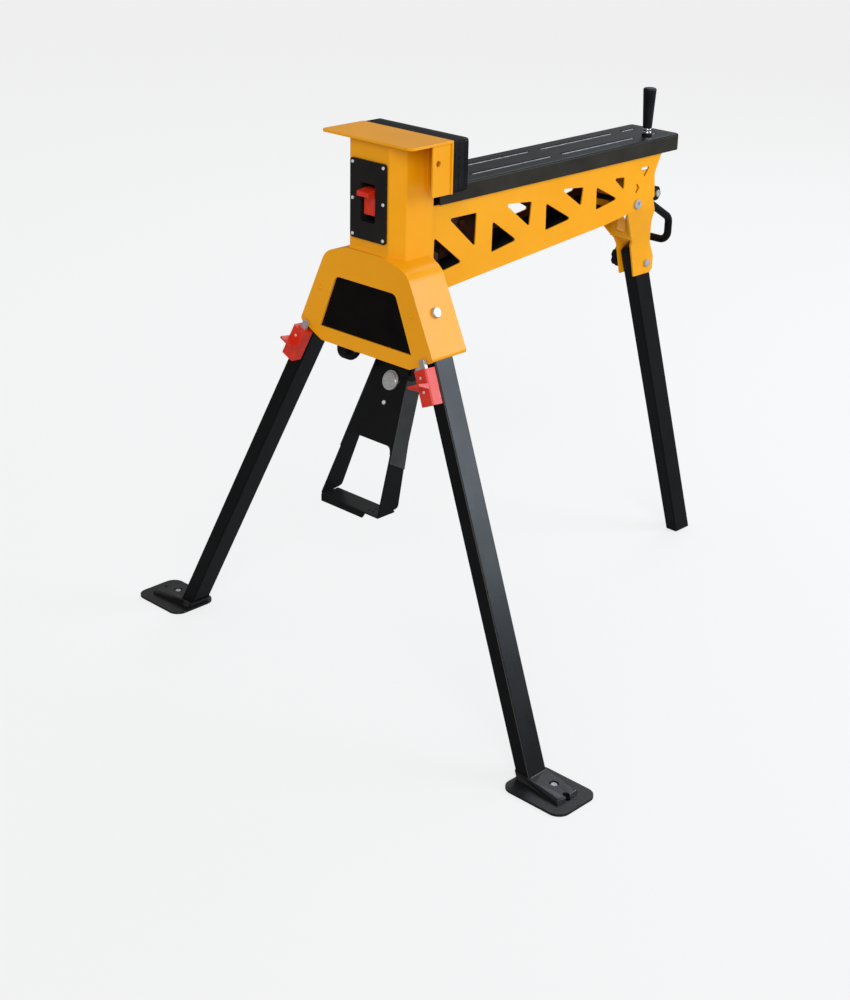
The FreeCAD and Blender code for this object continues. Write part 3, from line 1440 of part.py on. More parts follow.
def pedal_side(inner_shift, outer_shift):
    """Right flange of the pedal: a flared plate between two shifts from the pedal's half width."""
    toe = pedal_floor_z - pedal_sheet
    top = pedal_top_z
    low = pedal_half(toe)
    high = pedal_half(top)
    sheet_points = [V(low + inner_shift, 0, toe), V(low + outer_shift, 0, toe),
                    V(high + outer_shift, 0, top), V(high + inner_shift, 0, top)]
    blade = prism([p + V(0, -pedal_half_low, 0) for p in sheet_points], V(0, pedal_half_low * 4, 0))
    outline = [V(0, pedal_y(toe), toe), V(0, pedal_y(toe) + pedal_flange_low, toe + pedal_heel_rise),
               V(0, pedal_y(pedal_window_top_z) + pedal_flange_window, pedal_window_top_z),
               V(0, pedal_y(top) + pedal_flange_top, top), V(0, pedal_y(top), top)]
    shape = prism(outline, V(pedal_half_low * 2, 0, 0))
    heel = outline[1]

    def at_heel(edge):
        middle = edge.CenterOfMass
        return runs_along(edge, X_AXIS) and abs(middle.y - heel.y) < touch and abs(middle.z - heel.z) < touch

    def at_toe(edge):
        middle = edge.CenterOfMass
        return runs_along(edge, X_AXIS) and abs(middle.y - pedal_y(toe)) < touch and abs(middle.z - toe) < touch

    shape = round_edges(shape, pedal_heel_round, at_heel)
    shape = round_edges(shape, pedal_toe_round, at_toe)
    return blade.common(shape)


def pedal_plate():
    """Foot pedal: a folded panel at its head, two long side flanges, and a tread between their feet."""
    wall = pedal_sheet
    low = pedal_window_top_z
    top = pedal_top_z
    foot = low - pedal_window_round
    panel = pedal_slab(pedal_half(foot) - wall / 2, pedal_half(top) - wall / 2, foot, top, 0, wall)
    window_half = pedal_half(low) - wall
    window = box(-window_half, window_half, pedal_low_y, pedal_pivot_y, pedal_low_z, low)

    def upper_edge(edge):
        return runs_along(edge, Y_AXIS) and edge.CenterOfMass.z > low - touch

    window = round_edges(window, pedal_window_round, upper_edge)
    panel = panel.cut(window)
    side = pedal_side(-wall, 0)
    floor_half = pedal_half(pedal_floor_z) - wall / 2
    face = pedal_y(pedal_floor_z)
    floor = box(-floor_half, floor_half, face, face + pedal_floor_deep, pedal_floor_z - wall, pedal_floor_z)
    out = pedal_lip_out
    lip_back = pedal_y(pedal_lip_low)
    lip_outline = [V(-floor_half, face, pedal_floor_z), V(out + pedal_lip_slant, face, pedal_floor_z),
                   V(out, face, pedal_lip_low), V(-floor_half, face, pedal_lip_low)]
    lip = prism(lip_outline, V(0, wall, 0))
    ear = pedal_ear(pedal_half_top - wall, pedal_half_top, top - wall, 0)
    body = one([panel, side, mirrored(side), floor, lip, ear, mirrored(ear)])
    body = body.cut(pedal_axle_hole())
    for z, r in ((button_z, button_r / 2), (pedal_rivet_z, pedal_rivet_r / 2)):
        body = body.cut(rod(pedal_face(z, -cut_over), pedal_face(z, cut_over), r))
    for x, y in ((pedal_dimple_x, face + cut_over), (pedal_dimple_x + pedal_dimple_pitch, face + cut_over),
                 (pedal_dimple_x + pedal_dimple_pitch / 2, face + 2 * cut_over)):
        body = body.cut(rod(V(x, y, pedal_floor_z - wall / 2), V(x, y, pedal_floor_z + wall), pedal_dimple_r))
    return body


def pedal_face(z, out):
    """Point on the pedal's face in line with its round head, or square out from it."""
    long = math.hypot(1, pedal_slope)
    return V(button_x, pedal_y(z), z) + V(0, -1 / long, pedal_slope / long) * out


def pedal_rails():
    """Two outer rails that stiffen the pedal's sides and ears, cut on a slant at their feet."""
    t = pedal_sleeve_sheet
    rail = pedal_side(0, t)
    z0 = pedal_rail_z
    y0 = pedal_y(z0)
    reach = pedal_half_low * 2
    foot = [V(0, y0 - reach, z0 - reach), V(0, y0 - reach, z0), V(0, y0, z0),
            V(0, y0 + pedal_flange_window, z0 - pedal_rail_fall), V(0, y0 + reach, z0 - pedal_rail_fall),
            V(0, y0 + reach, z0 - reach)]
    rail = rail.cut(prism(foot, V(reach, 0, 0)))
    ear = pedal_ear(pedal_half_top, pedal_half_top + t, pedal_top_z, 0)
    rail = one([rail, ear]).cut(pedal_axle_hole())
    return both(rail)


def pedal_button():
    """Round plated head with its washer on the pedal's face."""
    ring = rod(pedal_face(button_z, 0), pedal_face(button_z, button_ring_high), button_ring_r)
    cap = rod(pedal_face(button_z, 0), pedal_face(button_z, button_ring_high + button_cap_high), button_r)
    top = pedal_face(button_z, button_ring_high + button_cap_high / 2)
    out = pedal_face(button_z, touch) - pedal_face(button_z, 0)
    cap = round_edges(cap, button_cap_high / 2, lambda e: (e.CenterOfMass - top).dot(out) > 0)
    shank = rod(pedal_face(button_z, -pedal_sheet), pedal_face(button_z, 0), button_r / 2)
    return one([ring, cap, shank])


def pedal_rivet():
    """Rivet below the round head."""
    head = rod(pedal_face(pedal_rivet_z, 0), pedal_face(pedal_rivet_z, rivet_head), pedal_rivet_r)
    shank = rod(pedal_face(pedal_rivet_z, -pedal_sheet), pedal_face(pedal_rivet_z, 0), pedal_rivet_r / 2)
    return one([head, shank])


def pedal_bracket():
    """Bracket between the trusses that carries the pedal's axle."""
    inner = pedal_half_top + pedal_bracket_gap
    top = box(-truss_in, truss_in, pedal_bracket_front, pedal_bracket_back,
              pedal_bracket_top, pedal_bracket_top + sheet)
    cheek = box(inner, inner + sheet, pedal_bracket_front, pedal_pivot_y + pedal_ear_r, pedal_bracket_low,
                pedal_bracket_top)
    hole = rod(V(-truss_in, pedal_pivot_y, pedal_pivot_z), V(truss_in, pedal_pivot_y, pedal_pivot_z), pedal_axle_r)
    ear = box(clutch_ear_in, clutch_ear_in + sheet, pedal_bracket_front, pedal_bracket_back,
              pedal_bracket_top, clutch_ear_top)
    high = rod(V(-truss_in, clutch_bolt_y, clutch_bolt_z), V(truss_in, clutch_bolt_y, clutch_bolt_z), clutch_bolt_r)
    return one([top, cheek, mirrored(cheek), ear, mirrored(ear)]).cut(hole).cut(high)


def clutch_bolt():
    """Bolt with a spacer between the bracket's upper ears."""
    y, z = clutch_bolt_y, clutch_bolt_z
    out = clutch_ear_in + sheet
    shank = rod(V(-out, y, z), V(out, y, z), clutch_bolt_r)
    spacer = rod(V(-clutch_ear_in, y, z), V(clutch_ear_in, y, z), clutch_spacer_r)
    nut = hexagon(V(out, y, z), X_AXIS, nut_flats, clutch_nut_high)
    return one([shank, spacer, nut, mirrored(nut)])


def pedal_axle():
    """Axle of the pedal with a head at each end."""
    half = pedal_half_top + pedal_bracket_gap + sheet
    shank = rod(V(-half, pedal_pivot_y, pedal_pivot_z), V(half, pedal_pivot_y, pedal_pivot_z), pedal_axle_r)
    head = rod(V(half, pedal_pivot_y, pedal_pivot_z), V(half + pedal_axle_over, pedal_pivot_y, pedal_pivot_z),
               pedal_axle_r * axle_head_share)
    return one([shank, head, mirrored(head)])


parts = {
    "column_housing": column_housing(),
    "leg_skirt": leg_skirt(),
    "skirt_panel": skirt_panel(),
    "skirt_rivets": skirt_rivets(),
    "top_plate": top_plate(),
    "fixed_jaw_bracket": fixed_jaw_bracket(),
    "fixed_jaw_pad": fixed_jaw_pad(),
    "fixed_pad_screws": pad_screws(bracket_back, fixed_pad_face),
    "switch_plate": switch_plate(),
    "switch_plate_screws": switch_plate_screws(),
    "switch_pin": switch_pin(),
    "switch_lever": switch_lever(),
    "truss_right": truss_plate(),
    "truss_left": mirrored(truss_plate()),
    "beam_tray": beam_tray(),
    "rear_yoke": rear_yoke(),
    "yoke_bolt": yoke_bolt(),
    "rear_pivot_bolt": rear_pivot_bolt(),
    "lock_knob": lock_knob(),
    "carry_handle": carry_handle(),
    "carry_bolts": both(carry_bolt()),
    "pedal_bracket": pedal_bracket(),
    "clutch_bolt": clutch_bolt(),
    "pedal_axle": pedal_axle(),
    "pedal_plate": pedal_plate(),
    "pedal_rails": pedal_rails(),
    "pedal_button": pedal_button(),
    "pedal_rivet": pedal_rivet(),
    "slide_beam": slide_beam(),
    "slide_runners": runners(),
    "sliding_jaw_plate": jaw_plate(),
    "sliding_jaw_pad": sliding_jaw_pad(),
    "sliding_pad_screws": pad_screws(jaw_plate_front, moving_pad_face),
    "handle_foot": handle_foot(),
    "handle_rings": handle_rings(),
    "handle_grip": handle_grip(),
    "rear_leg_tube": rear_leg_tube(),
    "rear_leg_cap": rear_leg_cap(),
    "wheel_brackets": both(wheel_bracket()),
    "wheel_axles": both(wheel_axle()),
    "wheel_right": wheel(),
    "wheel_left": mirrored(wheel()),
}
for side, name in ((1, "right"), (-1, "left")):
    parts["front_leg_" + name] = front_leg_tube(side)
    parts["front_foot_" + name] = front_foot(side)
    parts["foot_screw_" + name] = foot_screw(side)
    parts["leg_bolt_" + name] = leg_pivot_bolt(side)
    parts["leg_bracket_" + name] = leg_bracket(side)
    parts["latch_body_" + name] = latch_body(side)
    parts["latch_bolt_" + name] = latch_bolt(side)
    parts["latch_rivets_" + name] = latch_rivets(side)
    parts["latch_guide_" + name] = latch_guide(side)

front_reach = parts["front_foot_right"].optimalBoundingBox().YMin
rear_reach = parts["rear_leg_cap"].optimalBoundingBox().YMax
middle_y = (front_reach + rear_reach) / 2
print("middle of the footprint", round(middle_y, 3))
for node, shape in parts.items():
    shape.translate(V(0, -middle_y, 0))
    shape.exportStep("parts/" + node + ".step")
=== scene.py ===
import bmesh
import bpy
import json
import math
from mathutils import Matrix, Vector


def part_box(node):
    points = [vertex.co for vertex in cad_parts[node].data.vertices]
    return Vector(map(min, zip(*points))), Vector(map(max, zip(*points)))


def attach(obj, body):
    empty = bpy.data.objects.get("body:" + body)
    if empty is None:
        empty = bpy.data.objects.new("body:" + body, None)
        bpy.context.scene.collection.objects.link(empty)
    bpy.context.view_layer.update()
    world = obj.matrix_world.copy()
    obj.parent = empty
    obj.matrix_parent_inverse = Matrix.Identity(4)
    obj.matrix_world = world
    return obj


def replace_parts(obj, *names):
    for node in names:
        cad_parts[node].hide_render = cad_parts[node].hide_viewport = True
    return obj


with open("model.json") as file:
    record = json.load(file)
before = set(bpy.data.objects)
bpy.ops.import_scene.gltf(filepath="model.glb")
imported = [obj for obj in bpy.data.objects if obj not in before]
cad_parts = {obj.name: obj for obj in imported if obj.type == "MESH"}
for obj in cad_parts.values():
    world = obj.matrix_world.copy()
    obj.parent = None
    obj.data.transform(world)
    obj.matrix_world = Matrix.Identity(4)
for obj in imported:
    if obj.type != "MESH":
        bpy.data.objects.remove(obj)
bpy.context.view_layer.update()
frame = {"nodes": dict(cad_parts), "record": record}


# The camera stands where the photograph was taken, in front of the column and to
# its right. Its place is counted from the front face of the column.
column_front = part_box("column_housing")[0][1]
camera_place = Vector((1.77346, column_front - 1.73301, 1.39697))
azimuth = math.radians(43.58)
elevation = math.radians(23.62)
roll = math.radians(1.25)
focal_px = 1740.44
frame_tall_px = 1000.0

level_reach = math.cos(elevation)
back = Vector((math.sin(azimuth) * level_reach, -math.cos(azimuth) * level_reach, math.sin(elevation)))
level = Vector((math.cos(azimuth), math.sin(azimuth), 0.0))
right = level * math.cos(roll) + back.cross(level) * math.sin(roll)
upward = back.cross(right)
lens = bpy.data.cameras.new("photo_camera")
lens.sensor_fit = "VERTICAL"
lens.sensor_height = 36.0
lens.lens = focal_px / frame_tall_px * lens.sensor_height
lens.clip_end = 50.0
camera = bpy.data.objects.new("photo_camera", lens)
camera_turn = Matrix((right, upward, back)).transposed().to_4x4()
camera.matrix_world = Matrix.Translation(camera_place) @ camera_turn
bpy.context.scene.collection.objects.link(camera)
bpy.context.scene.camera = camera
bpy.context.scene.view_settings.view_transform = "Standard"


# Column, leg skirt and the leg brackets inside it: sheet, cut, folded and welded,
# then powder coated yellow. The coat is glossy with a fine orange peel, it rounds
# every cut edge, and handling has dulled it in clouds.
class Value:
    """A shader socket whose sums, differences and products add Math nodes."""

    def __init__(self, tree, socket):
        self.tree = tree
        self.socket = socket

    def math(self, operation, first, second):
        node = self.tree.nodes.new("ShaderNodeMath")
        node.operation = operation
        for slot, item in zip(node.inputs, (first, second)):
            if isinstance(item, Value):
                self.tree.links.new(item.socket, slot)
            else:
                slot.default_value = item
        return Value(self.tree, node.outputs[0])

    def __add__(self, other):
        return self.math("ADD", self, other)

    def __radd__(self, other):
        return self.math("ADD", other, self)

    def __sub__(self, other):
        return self.math("SUBTRACT", self, other)

    def __rsub__(self, other):
        return self.math("SUBTRACT", other, self)

    def __mul__(self, other):
        return self.math("MULTIPLY", self, other)

    def __rmul__(self, other):
        return self.math("MULTIPLY", other, self)


class Nodes:
    """A node tree and the way in which nodes are added to it."""

    def __init__(self, tree):
        self.tree = tree

    def node(self, kind, settings, inputs, output=0):
        """Adds a node, makes its settings, fills its sockets, and returns one output."""
        node = self.tree.nodes.new("ShaderNode" + kind)
        for name, value in settings.items():
            setattr(node, name, value)
        for name, value in inputs.items():
            socket = node.inputs[name]
            if isinstance(value, Value):
                self.tree.links.new(value.socket, socket)
            else:
                socket.default_value = value
        return Value(self.tree, node.outputs[output])


class Finish(Nodes):
    """A surface finish: one Principled shader and the pattern nodes that feed it."""

    def __init__(self, name, **constants):
        self.material = bpy.data.materials.new(name)
        self.material.use_nodes = True
        super().__init__(self.material.node_tree)
        self.shader = self.tree.nodes["Principled BSDF"]
        for socket, value in constants.items():
            self.shader.inputs[socket.replace("_", " ")].default_value = value

    def place(self):
        """Object coordinates, in metres."""
        return self.node("TexCoord", {}, {}, "Object")

    def along(self, axis):
        """The object coordinate along one axis."""
        return self.node("SeparateXYZ", {}, {0: self.place()}, axis)

    def size_of(self, value):
        """The value without its sign."""
        return self.node("Math", {"operation": "ABSOLUTE"}, {0: value})

    def noise(self, per_metre, detail):
        """Noise with a number of waves per metre."""
        return self.node("TexNoise", {}, {"Vector": self.place(), "Scale": per_metre, "Detail": detail})

    def cells(self, per_metre):
        """Distance to the middle of the nearest of a number of cells per metre."""
        return self.node("TexVoronoi", {}, {"Vector": self.place(), "Scale": per_metre})

    def spread(self, value, low, high):
        """The value's way from low to high, from 0 to 1."""
        return self.node("MapRange", {}, {"Value": value, "From Min": low, "From Max": high})

    def patches(self, per_metre, low=0.3, high=0.7, detail=3.0):
        """Soft patches from 0 to 1, a number of them per metre."""
        return self.spread(self.noise(per_metre, detail), low, high)

    def mix(self, factor, first, second):
        """Mix of two colours, each a pattern or three numbers."""
        pair = [item if isinstance(item, Value) else (*item, 1.0) for item in (first, second)]
        return self.node("Mix", {"data_type": "RGBA"}, {0: factor, 6: pair[0], 7: pair[1]}, 2)

    def feed(self, socket, value):
        """Links a pattern to a socket of the shader."""
        self.tree.links.new(value.socket, self.shader.inputs[socket])

    def colour(self, mask, first, second):
        """Colours the surface from a first to a second colour by a mask."""
        self.feed("Base Color", self.mix(mask, first, second))

    def dull(self, least, more, mask):
        """Gives the surface a least roughness, and more of it by a mask."""
        self.feed("Roughness", least + more * mask)

    def relief(self, height, depth, strength=1.0):
        """Bump of a height field with a depth in metres."""
        sockets = {"Height": height, "Distance": depth, "Strength": strength}
        self.feed("Normal", self.node("Bump", {}, sockets))

    def grain(self, per_metre, depth, detail=2.0):
        """Bump of fine noise with a depth in metres."""
        self.relief(self.noise(per_metre, detail), depth)


body_of = {}
for body, names in frame["record"]["behaviour"]["bodies"].items():
    for name in names:
        body_of[name] = body

weld_gap = 2e-6
flat_turn = math.radians(0.4)


def finished(work, name, finish, node, sharp=50.0):
    """Makes a rigid piece of a worked shape, on the body of a CAD node."""
    mesh = bpy.data.meshes.new(name)
    work.to_mesh(mesh)
    work.free()
    for face in mesh.polygons:
        face.use_smooth = True
    mesh.set_sharp_from_angle(angle=math.radians(sharp))
    mesh.materials.append(finish.material)
    piece = bpy.data.objects.new(name, mesh)
    bpy.context.scene.collection.objects.link(piece)
    piece.modifiers.new("flat_faces", "WEIGHTED_NORMAL").keep_sharp = True
    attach(piece, body_of[node])
    return piece


def merged(node):
    """Copy of a CAD node's shape with its loose triangles joined into faces."""
    work = bmesh.new()
    work.from_mesh(frame["nodes"][node].data)
    bmesh.ops.remove_doubles(work, verts=work.verts, dist=weld_gap)
    bmesh.ops.dissolve_limit(work, angle_limit=flat_turn, verts=work.verts, edges=work.edges)
    return work


def sharp_edges(work, turn):
    """Edges at which two faces meet at more than a number of degrees."""
    return [edge for edge in work.edges
            if len(edge.link_faces) == 2 and edge.calc_face_angle(0.0) > math.radians(turn)]


def soften(work, edges, width, segments, clamp=True):
    """Rounds edges over a width, and returns what the bevel made."""
    return bmesh.ops.bevel(work, geom=edges, offset=width, offset_type="OFFSET", segments=segments,
                           profile=0.5, affect="EDGES", clamp_overlap=clamp, material=-1)


def rounded(node, finish, width, segments=2):
    """Stands in for a CAD node with its sharp edges rounded, as a press, a mould or a coat leaves them."""
    work = merged(node)
    soften(work, sharp_edges(work, 30.0), width, segments)
    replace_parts(finished(work, node + "_rounded", finish, node), node)


def powder_coat(finish):
    """Gives a finish the powder coat's roughness and peel, and returns its clouds and its dusty yellow."""
    cloud = finish.patches(9.0, 0.35, 0.65)
    dust = finish.patches(70.0, 0.62, 0.80, detail=5.0)
    yellow = finish.mix(cloud, (0.780, 0.312, 0.001), (0.820, 0.338, 0.002))
    finish.feed("Roughness", 0.30 + 0.10 * cloud + 0.12 * dust)
    finish.grain(420.0, 0.00006)
    return cloud, finish.mix(dust * 0.25, yellow, (0.780, 0.420, 0.080))


coat_gloss = {"Metallic": 0.0, "Specular_IOR_Level": 0.22, "Coat_Roughness": 0.15}
coat_weight = 0.06
folded_edge = 0.0008
powder_yellow = Finish("powder_yellow", Coat_Weight=coat_weight, **coat_gloss)
cloud, yellow = powder_coat(powder_yellow)
powder_yellow.feed("Base Color", yellow)
for node in ("column_housing", "leg_skirt", "leg_bracket_right", "leg_bracket_left"):
    rounded(node, powder_yellow, folded_edge)


# Table plate, jaw bracket and rear yoke, of the same coated sheet. Cut edges are
# crisp, and the coat only just softens them.
cut_edge = 0.0006
for node in ("top_plate", "fixed_jaw_bracket", "rear_yoke"):
    rounded(node, powder_yellow, cut_edge)


# Trusses: the same sheet with laser-cut windows. Their inner faces are coloured a dark
# reddish brown, as painted shade inside the channel.
inner_shade_inset = 0.0018
truss_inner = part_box("truss_right")[1][0] - inner_shade_inset
change_half = 0.0004
truss_yellow = Finish("truss_yellow", **coat_gloss)
cloud, yellow = powder_coat(truss_yellow)
outside = truss_yellow.spread(truss_yellow.size_of(truss_yellow.along("X")),
                              truss_inner - change_half, truss_inner + change_half)
# Painted shade: the inner faces get a dark reddish brown instead of the yellow.
painted_inner_shade = truss_yellow.mix(cloud, (0.090, 0.016, 0.002), (0.130, 0.026, 0.004))
truss_yellow.colour(outside, painted_inner_shade, yellow)
truss_yellow.feed("Coat Weight", outside * coat_weight)
for node in ("truss_right", "truss_left"):
    rounded(node, truss_yellow, cut_edge)


# Clutch inside the front of the trusses: two dark steel plates on the clutch bolt,
# with pins between them, which show through the first windows.
oxide_steel = Finish("oxide_steel", Metallic=0.3, Specular_IOR_Level=0.3)
blued = oxide_steel.patches(120.0)
oxide_steel.colour(blued, (0.030, 0.008, 0.004), (0.075, 0.020, 0.010))
oxide_steel.dull(0.40, 0.15, blued)
oxide_steel.grain(500.0, 0.00005, detail=3.0)

quarter_turn = math.radians(90.0)
across = Matrix.Rotation(quarter_turn, 4, "Y")


def drawn_out(work, ring, run):
    """Draws a capped ring out along a vector, and returns the vertices of its new end."""
    faces = list({face for vert in ring for face in vert.link_faces})
    pulled = bmesh.ops.extrude_face_region(work, geom=faces)["geom"]
    ends = [item for item in pulled if isinstance(item, bmesh.types.BMVert)]
    bmesh.ops.translate(work, vec=run, verts=ends)
    return ends


def cross_pin(work, place, radius, long, edge_width):
    """Adds a round bar with softened ends, which runs across the bench from a place."""
    ring = bmesh.ops.create_circle(work, cap_ends=True, radius=radius, segments=32)["verts"]
    whole = set(ring + drawn_out(work, ring, (0.0, 0.0, long)))
    rims = [edge for edge in work.edges
            if whole.issuperset(edge.verts) and abs(edge.verts[0].co.z - edge.verts[1].co.z) < long / 2]
    made = soften(work, rims, edge_width, 2)["verts"]
    bar = [vert for vert in whole | set(made) if vert.is_valid]
    bmesh.ops.transform(work, matrix=Matrix.Translation(place) @ across, verts=bar)


clutch_low, clutch_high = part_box("clutch_bolt")
clutch_y = (clutch_low[1] + clutch_high[1]) / 2
clutch_z = (clutch_low[2] + clutch_high[2]) / 2
clutch_long = 0.108
clutch_round = 0.016
clutch_half = 0.021
clutch_sheet = 0.003
clutch_edge = 0.0005
clutch_tail_rise = 0.020
clutch_roof_gap = 0.004
clutch_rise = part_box("slide_runners")[0][2] - clutch_roof_gap - clutch_z - clutch_round
clutch_corners = ((0.0, 0.0), (0.0, clutch_rise), (clutch_long, clutch_tail_rise), (clutch_long, clutch_rise))
for side, hand in ((-1, "left"), (1, "right")):
    plate = bmesh.new()
    for along, rise in clutch_corners:
        ring = bmesh.ops.create_circle(plate, cap_ends=False, radius=clutch_round, segments=32)["verts"]
        corner = Matrix.Translation((0.0, clutch_y + along, clutch_z + rise)) @ across
        bmesh.ops.transform(plate, matrix=corner, verts=ring)
    inner = [item for item in bmesh.ops.convex_hull(plate, input=plate.verts)["geom_interior"]
             if isinstance(item, bmesh.types.BMVert)]
    bmesh.ops.delete(plate, geom=inner, context="VERTS")
    bmesh.ops.dissolve_limit(plate, angle_limit=math.radians(1.0), verts=plate.verts, edges=plate.edges)
    bmesh.ops.translate(plate, vec=(side * clutch_half, 0.0, 0.0), verts=plate.verts)
    pressed = finished(plate, "clutch_plate_" + hand, oxide_steel, "clutch_bolt")
    thick = pressed.modifiers.new("sheet", "SOLIDIFY")
    thick.thickness = clutch_sheet
    thick.offset = 0.0
    soft = pressed.modifiers.new("edges", "BEVEL")
    soft.width = clutch_edge
    soft.segments = 2

pin_half = clutch_half + 0.006
pin_edge = 0.0008
pin_places = ((0.034, 0.030, 0.005), (0.072, 0.038, 0.006), (clutch_long, clutch_tail_rise, 0.004))
pins = bmesh.new()
for along, rise, radius in pin_places:
    start = Vector((-pin_half, clutch_y + along, clutch_z + rise))
    cross_pin(pins, start, radius, 2 * pin_half, pin_edge)
bmesh.ops.recalc_face_normals(pins, faces=pins.faces)
finished(pins, "clutch_pins", oxide_steel, "clutch_bolt")


# Tray between the trusses, the black bracket under the column and the panel in the skirt:
# folded sheet with a thin, dull black coat; the tray's black is painted shade inside the trusses.
thin_edge = 0.0005
dull_black_and_painted_shade = Finish("dull_black_and_painted_shade", Metallic=0.0, Specular_IOR_Level=0.08)
soot = dull_black_and_painted_shade.patches(30.0)
dull_black_and_painted_shade.colour(soot, (0.0025, 0.002, 0.002), (0.0045, 0.0036, 0.003))
dull_black_and_painted_shade.dull(0.55, 0.15, soot)
dull_black_and_painted_shade.grain(500.0, 0.00004)
for node in ("beam_tray", "pedal_bracket", "skirt_panel"):
    rounded(node, dull_black_and_painted_shade, thin_edge)


# Switch plate on the column: a moulded black plate with a fine grain and a rolled
# rim, with a well for the lever behind its slot.
mould_cells = 1400.0
mould_cell_deep = 0.00007
mould_cell_soft = 0.6
switch_rim = 0.0007
switch_moulding = Finish("switch_moulding", Metallic=0.0, Specular_IOR_Level=0.16)
# Painted sheen: the plate's black is lifted to a brownish grey, more so in clouds.
painted_sheen_clouds = switch_moulding.patches(12.0, 0.35, 0.65)
switch_moulding.colour(painted_sheen_clouds, (0.009, 0.008, 0.009), (0.018, 0.013, 0.012))
switch_moulding.dull(0.38, 0.12, painted_sheen_clouds)
switch_moulding.relief(switch_moulding.cells(mould_cells), mould_cell_deep, mould_cell_soft)
rounded("switch_plate", switch_moulding, switch_rim)


# Lock lever in the switch: red moulded plastic with a soft sheen, its edges well
# rounded for the finger.
finger_edge = 0.0010
latch_red = Finish("latch_red", Metallic=0.0, Specular_IOR_Level=0.50)
tint = latch_red.patches(60.0)
latch_red.colour(tint, (0.60, 0.018, 0.004), (0.67, 0.028, 0.007))
latch_red.dull(0.34, 0.10, tint)
latch_red.grain(900.0, 0.00004)
rounded("switch_lever", latch_red, finger_edge, segments=3)


# Screws of the switch plate and rivets of the latches and the pedal: bright zinc
# plated steel. The screws have pan heads with a cross recess and sit on the plate.
bright_zinc = Finish("bright_zinc", Metallic=0.35)
mark = bright_zinc.patches(200.0)
bright_zinc.colour(mark, (0.66, 0.66, 0.68), (0.82, 0.82, 0.84))
bright_zinc.dull(0.26, 0.16, mark)
bright_zinc.grain(1200.0, 0.00002)

head_sides = 24
pan_rings = ((1.0, 0.40), (0.95, 0.68), (0.85, 0.88), (0.75, 1.0))
recess_rings = ((1.0, 1.0), (0.8, 0.45))
recess_long = 0.62
recess_half = 0.16
recess_waist = recess_long * 0.6
recess_steps = ((recess_long, 0.0), (recess_long, recess_half), (recess_waist, recess_half),
                (recess_half, recess_half), (recess_half, recess_waist), (recess_half, recess_long))


def ring_edges(work, ring):
    """The edges that run between the vertices of a ring."""
    rim = set(ring)
    return [edge for edge in work.edges if rim.issuperset(edge.verts)]


def cross_head(work, place, radius, high):
    """Adds a pan head with a cross recess, whose seat is at a place and whose top points forward."""
    ring = bmesh.ops.create_circle(work, cap_ends=False, radius=radius, segments=head_sides)["verts"]
    whole = list(ring)
    rings = [(*step, False) for step in pan_rings] + [(*step, True) for step in recess_rings]
    for share, rise, crossed in rings:
        made = bmesh.ops.extrude_edge_only(work, edges=ring_edges(work, ring))["geom"]
        ring = [item for item in made if isinstance(item, bmesh.types.BMVert)]
        for vert in ring:
            turn = math.atan2(vert.co.y, vert.co.x) % math.tau
            outline = Vector((math.cos(turn), math.sin(turn), 0.0))
            if crossed:
                step = round(turn / math.tau * head_sides) % head_sides
                arm, corner = divmod(step, len(recess_steps))
                outline = Matrix.Rotation(arm * quarter_turn, 3, "Z") @ Vector((*recess_steps[corner], 0.0))
            vert.co = outline * radius * share
            vert.co.z = high * rise
        whole = whole + ring
    bmesh.ops.contextual_create(work, geom=ring_edges(work, ring))
    forward = Matrix.Rotation(quarter_turn, 4, "X")
    bmesh.ops.transform(work, matrix=Matrix.Translation(place) @ forward, verts=whole)


def solids_of(node):
    """The lowest and highest corner of each solid of a CAD node."""
    work = merged(node)
    known = set()
    boxes = []
    for start in work.verts:
        if start in known:
            continue
        group = {start}
        border = [start]
        while border:
            near = {edge.other_vert(vert) for vert in border for edge in vert.link_edges} - group
            group = group | near
            border = list(near)
        known = known | group
        low = Vector([min(vert.co[i] for vert in group) for i in range(3)])
        high = Vector([max(vert.co[i] for vert in group) for i in range(3)])
        boxes.append((low, high))
    work.free()
    return boxes


pan_high = 0.0016
plate_screws = bmesh.new()
for low, high in solids_of("switch_plate_screws"):
    seat = Vector(((low.x + high.x) / 2, low.y + pan_high, (low.z + high.z) / 2))
    cross_head(plate_screws, seat, (high.x - low.x) / 2, pan_high)
bmesh.ops.recalc_face_normals(plate_screws, faces=plate_screws.faces)
screw_heads = finished(plate_screws, "plate_screw_heads", bright_zinc, "switch_plate_screws", sharp=35.0)
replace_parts(screw_heads, "switch_plate_screws")

head_edge = 0.0005
for node in ("latch_rivets_right", "latch_rivets_left", "pedal_rivet"):
    rounded(node, bright_zinc, head_edge)


# Bolts, pins and pad screws: zinc plated steel with a faint grey bloom. They hold
# the legs, the latches, the pads, the wheels and the carry handle.
zinc_shades = ((0.44, 0.44, 0.46), (0.58, 0.58, 0.60))
zinc_plate = Finish("zinc_plate", Metallic=0.6)
tarnish = zinc_plate.patches(160.0)
zinc_plate.colour(tarnish, *zinc_shades)
zinc_plate.dull(0.30, 0.16, tarnish)
zinc_plate.grain(1200.0, 0.00002)
for node in ("switch_pin", "fixed_pad_screws", "sliding_pad_screws", "wheel_axles", "leg_bolt_right",
             "leg_bolt_left", "latch_bolt_right", "latch_bolt_left", "carry_bolts"):
    rounded(node, zinc_plate, head_edge)


# Rivets of the skirt, two in its front, which are set before the powder coat and
# are painted over by it.
painted_edge = 0.0003
rounded("skirt_rivets", powder_yellow, painted_edge)
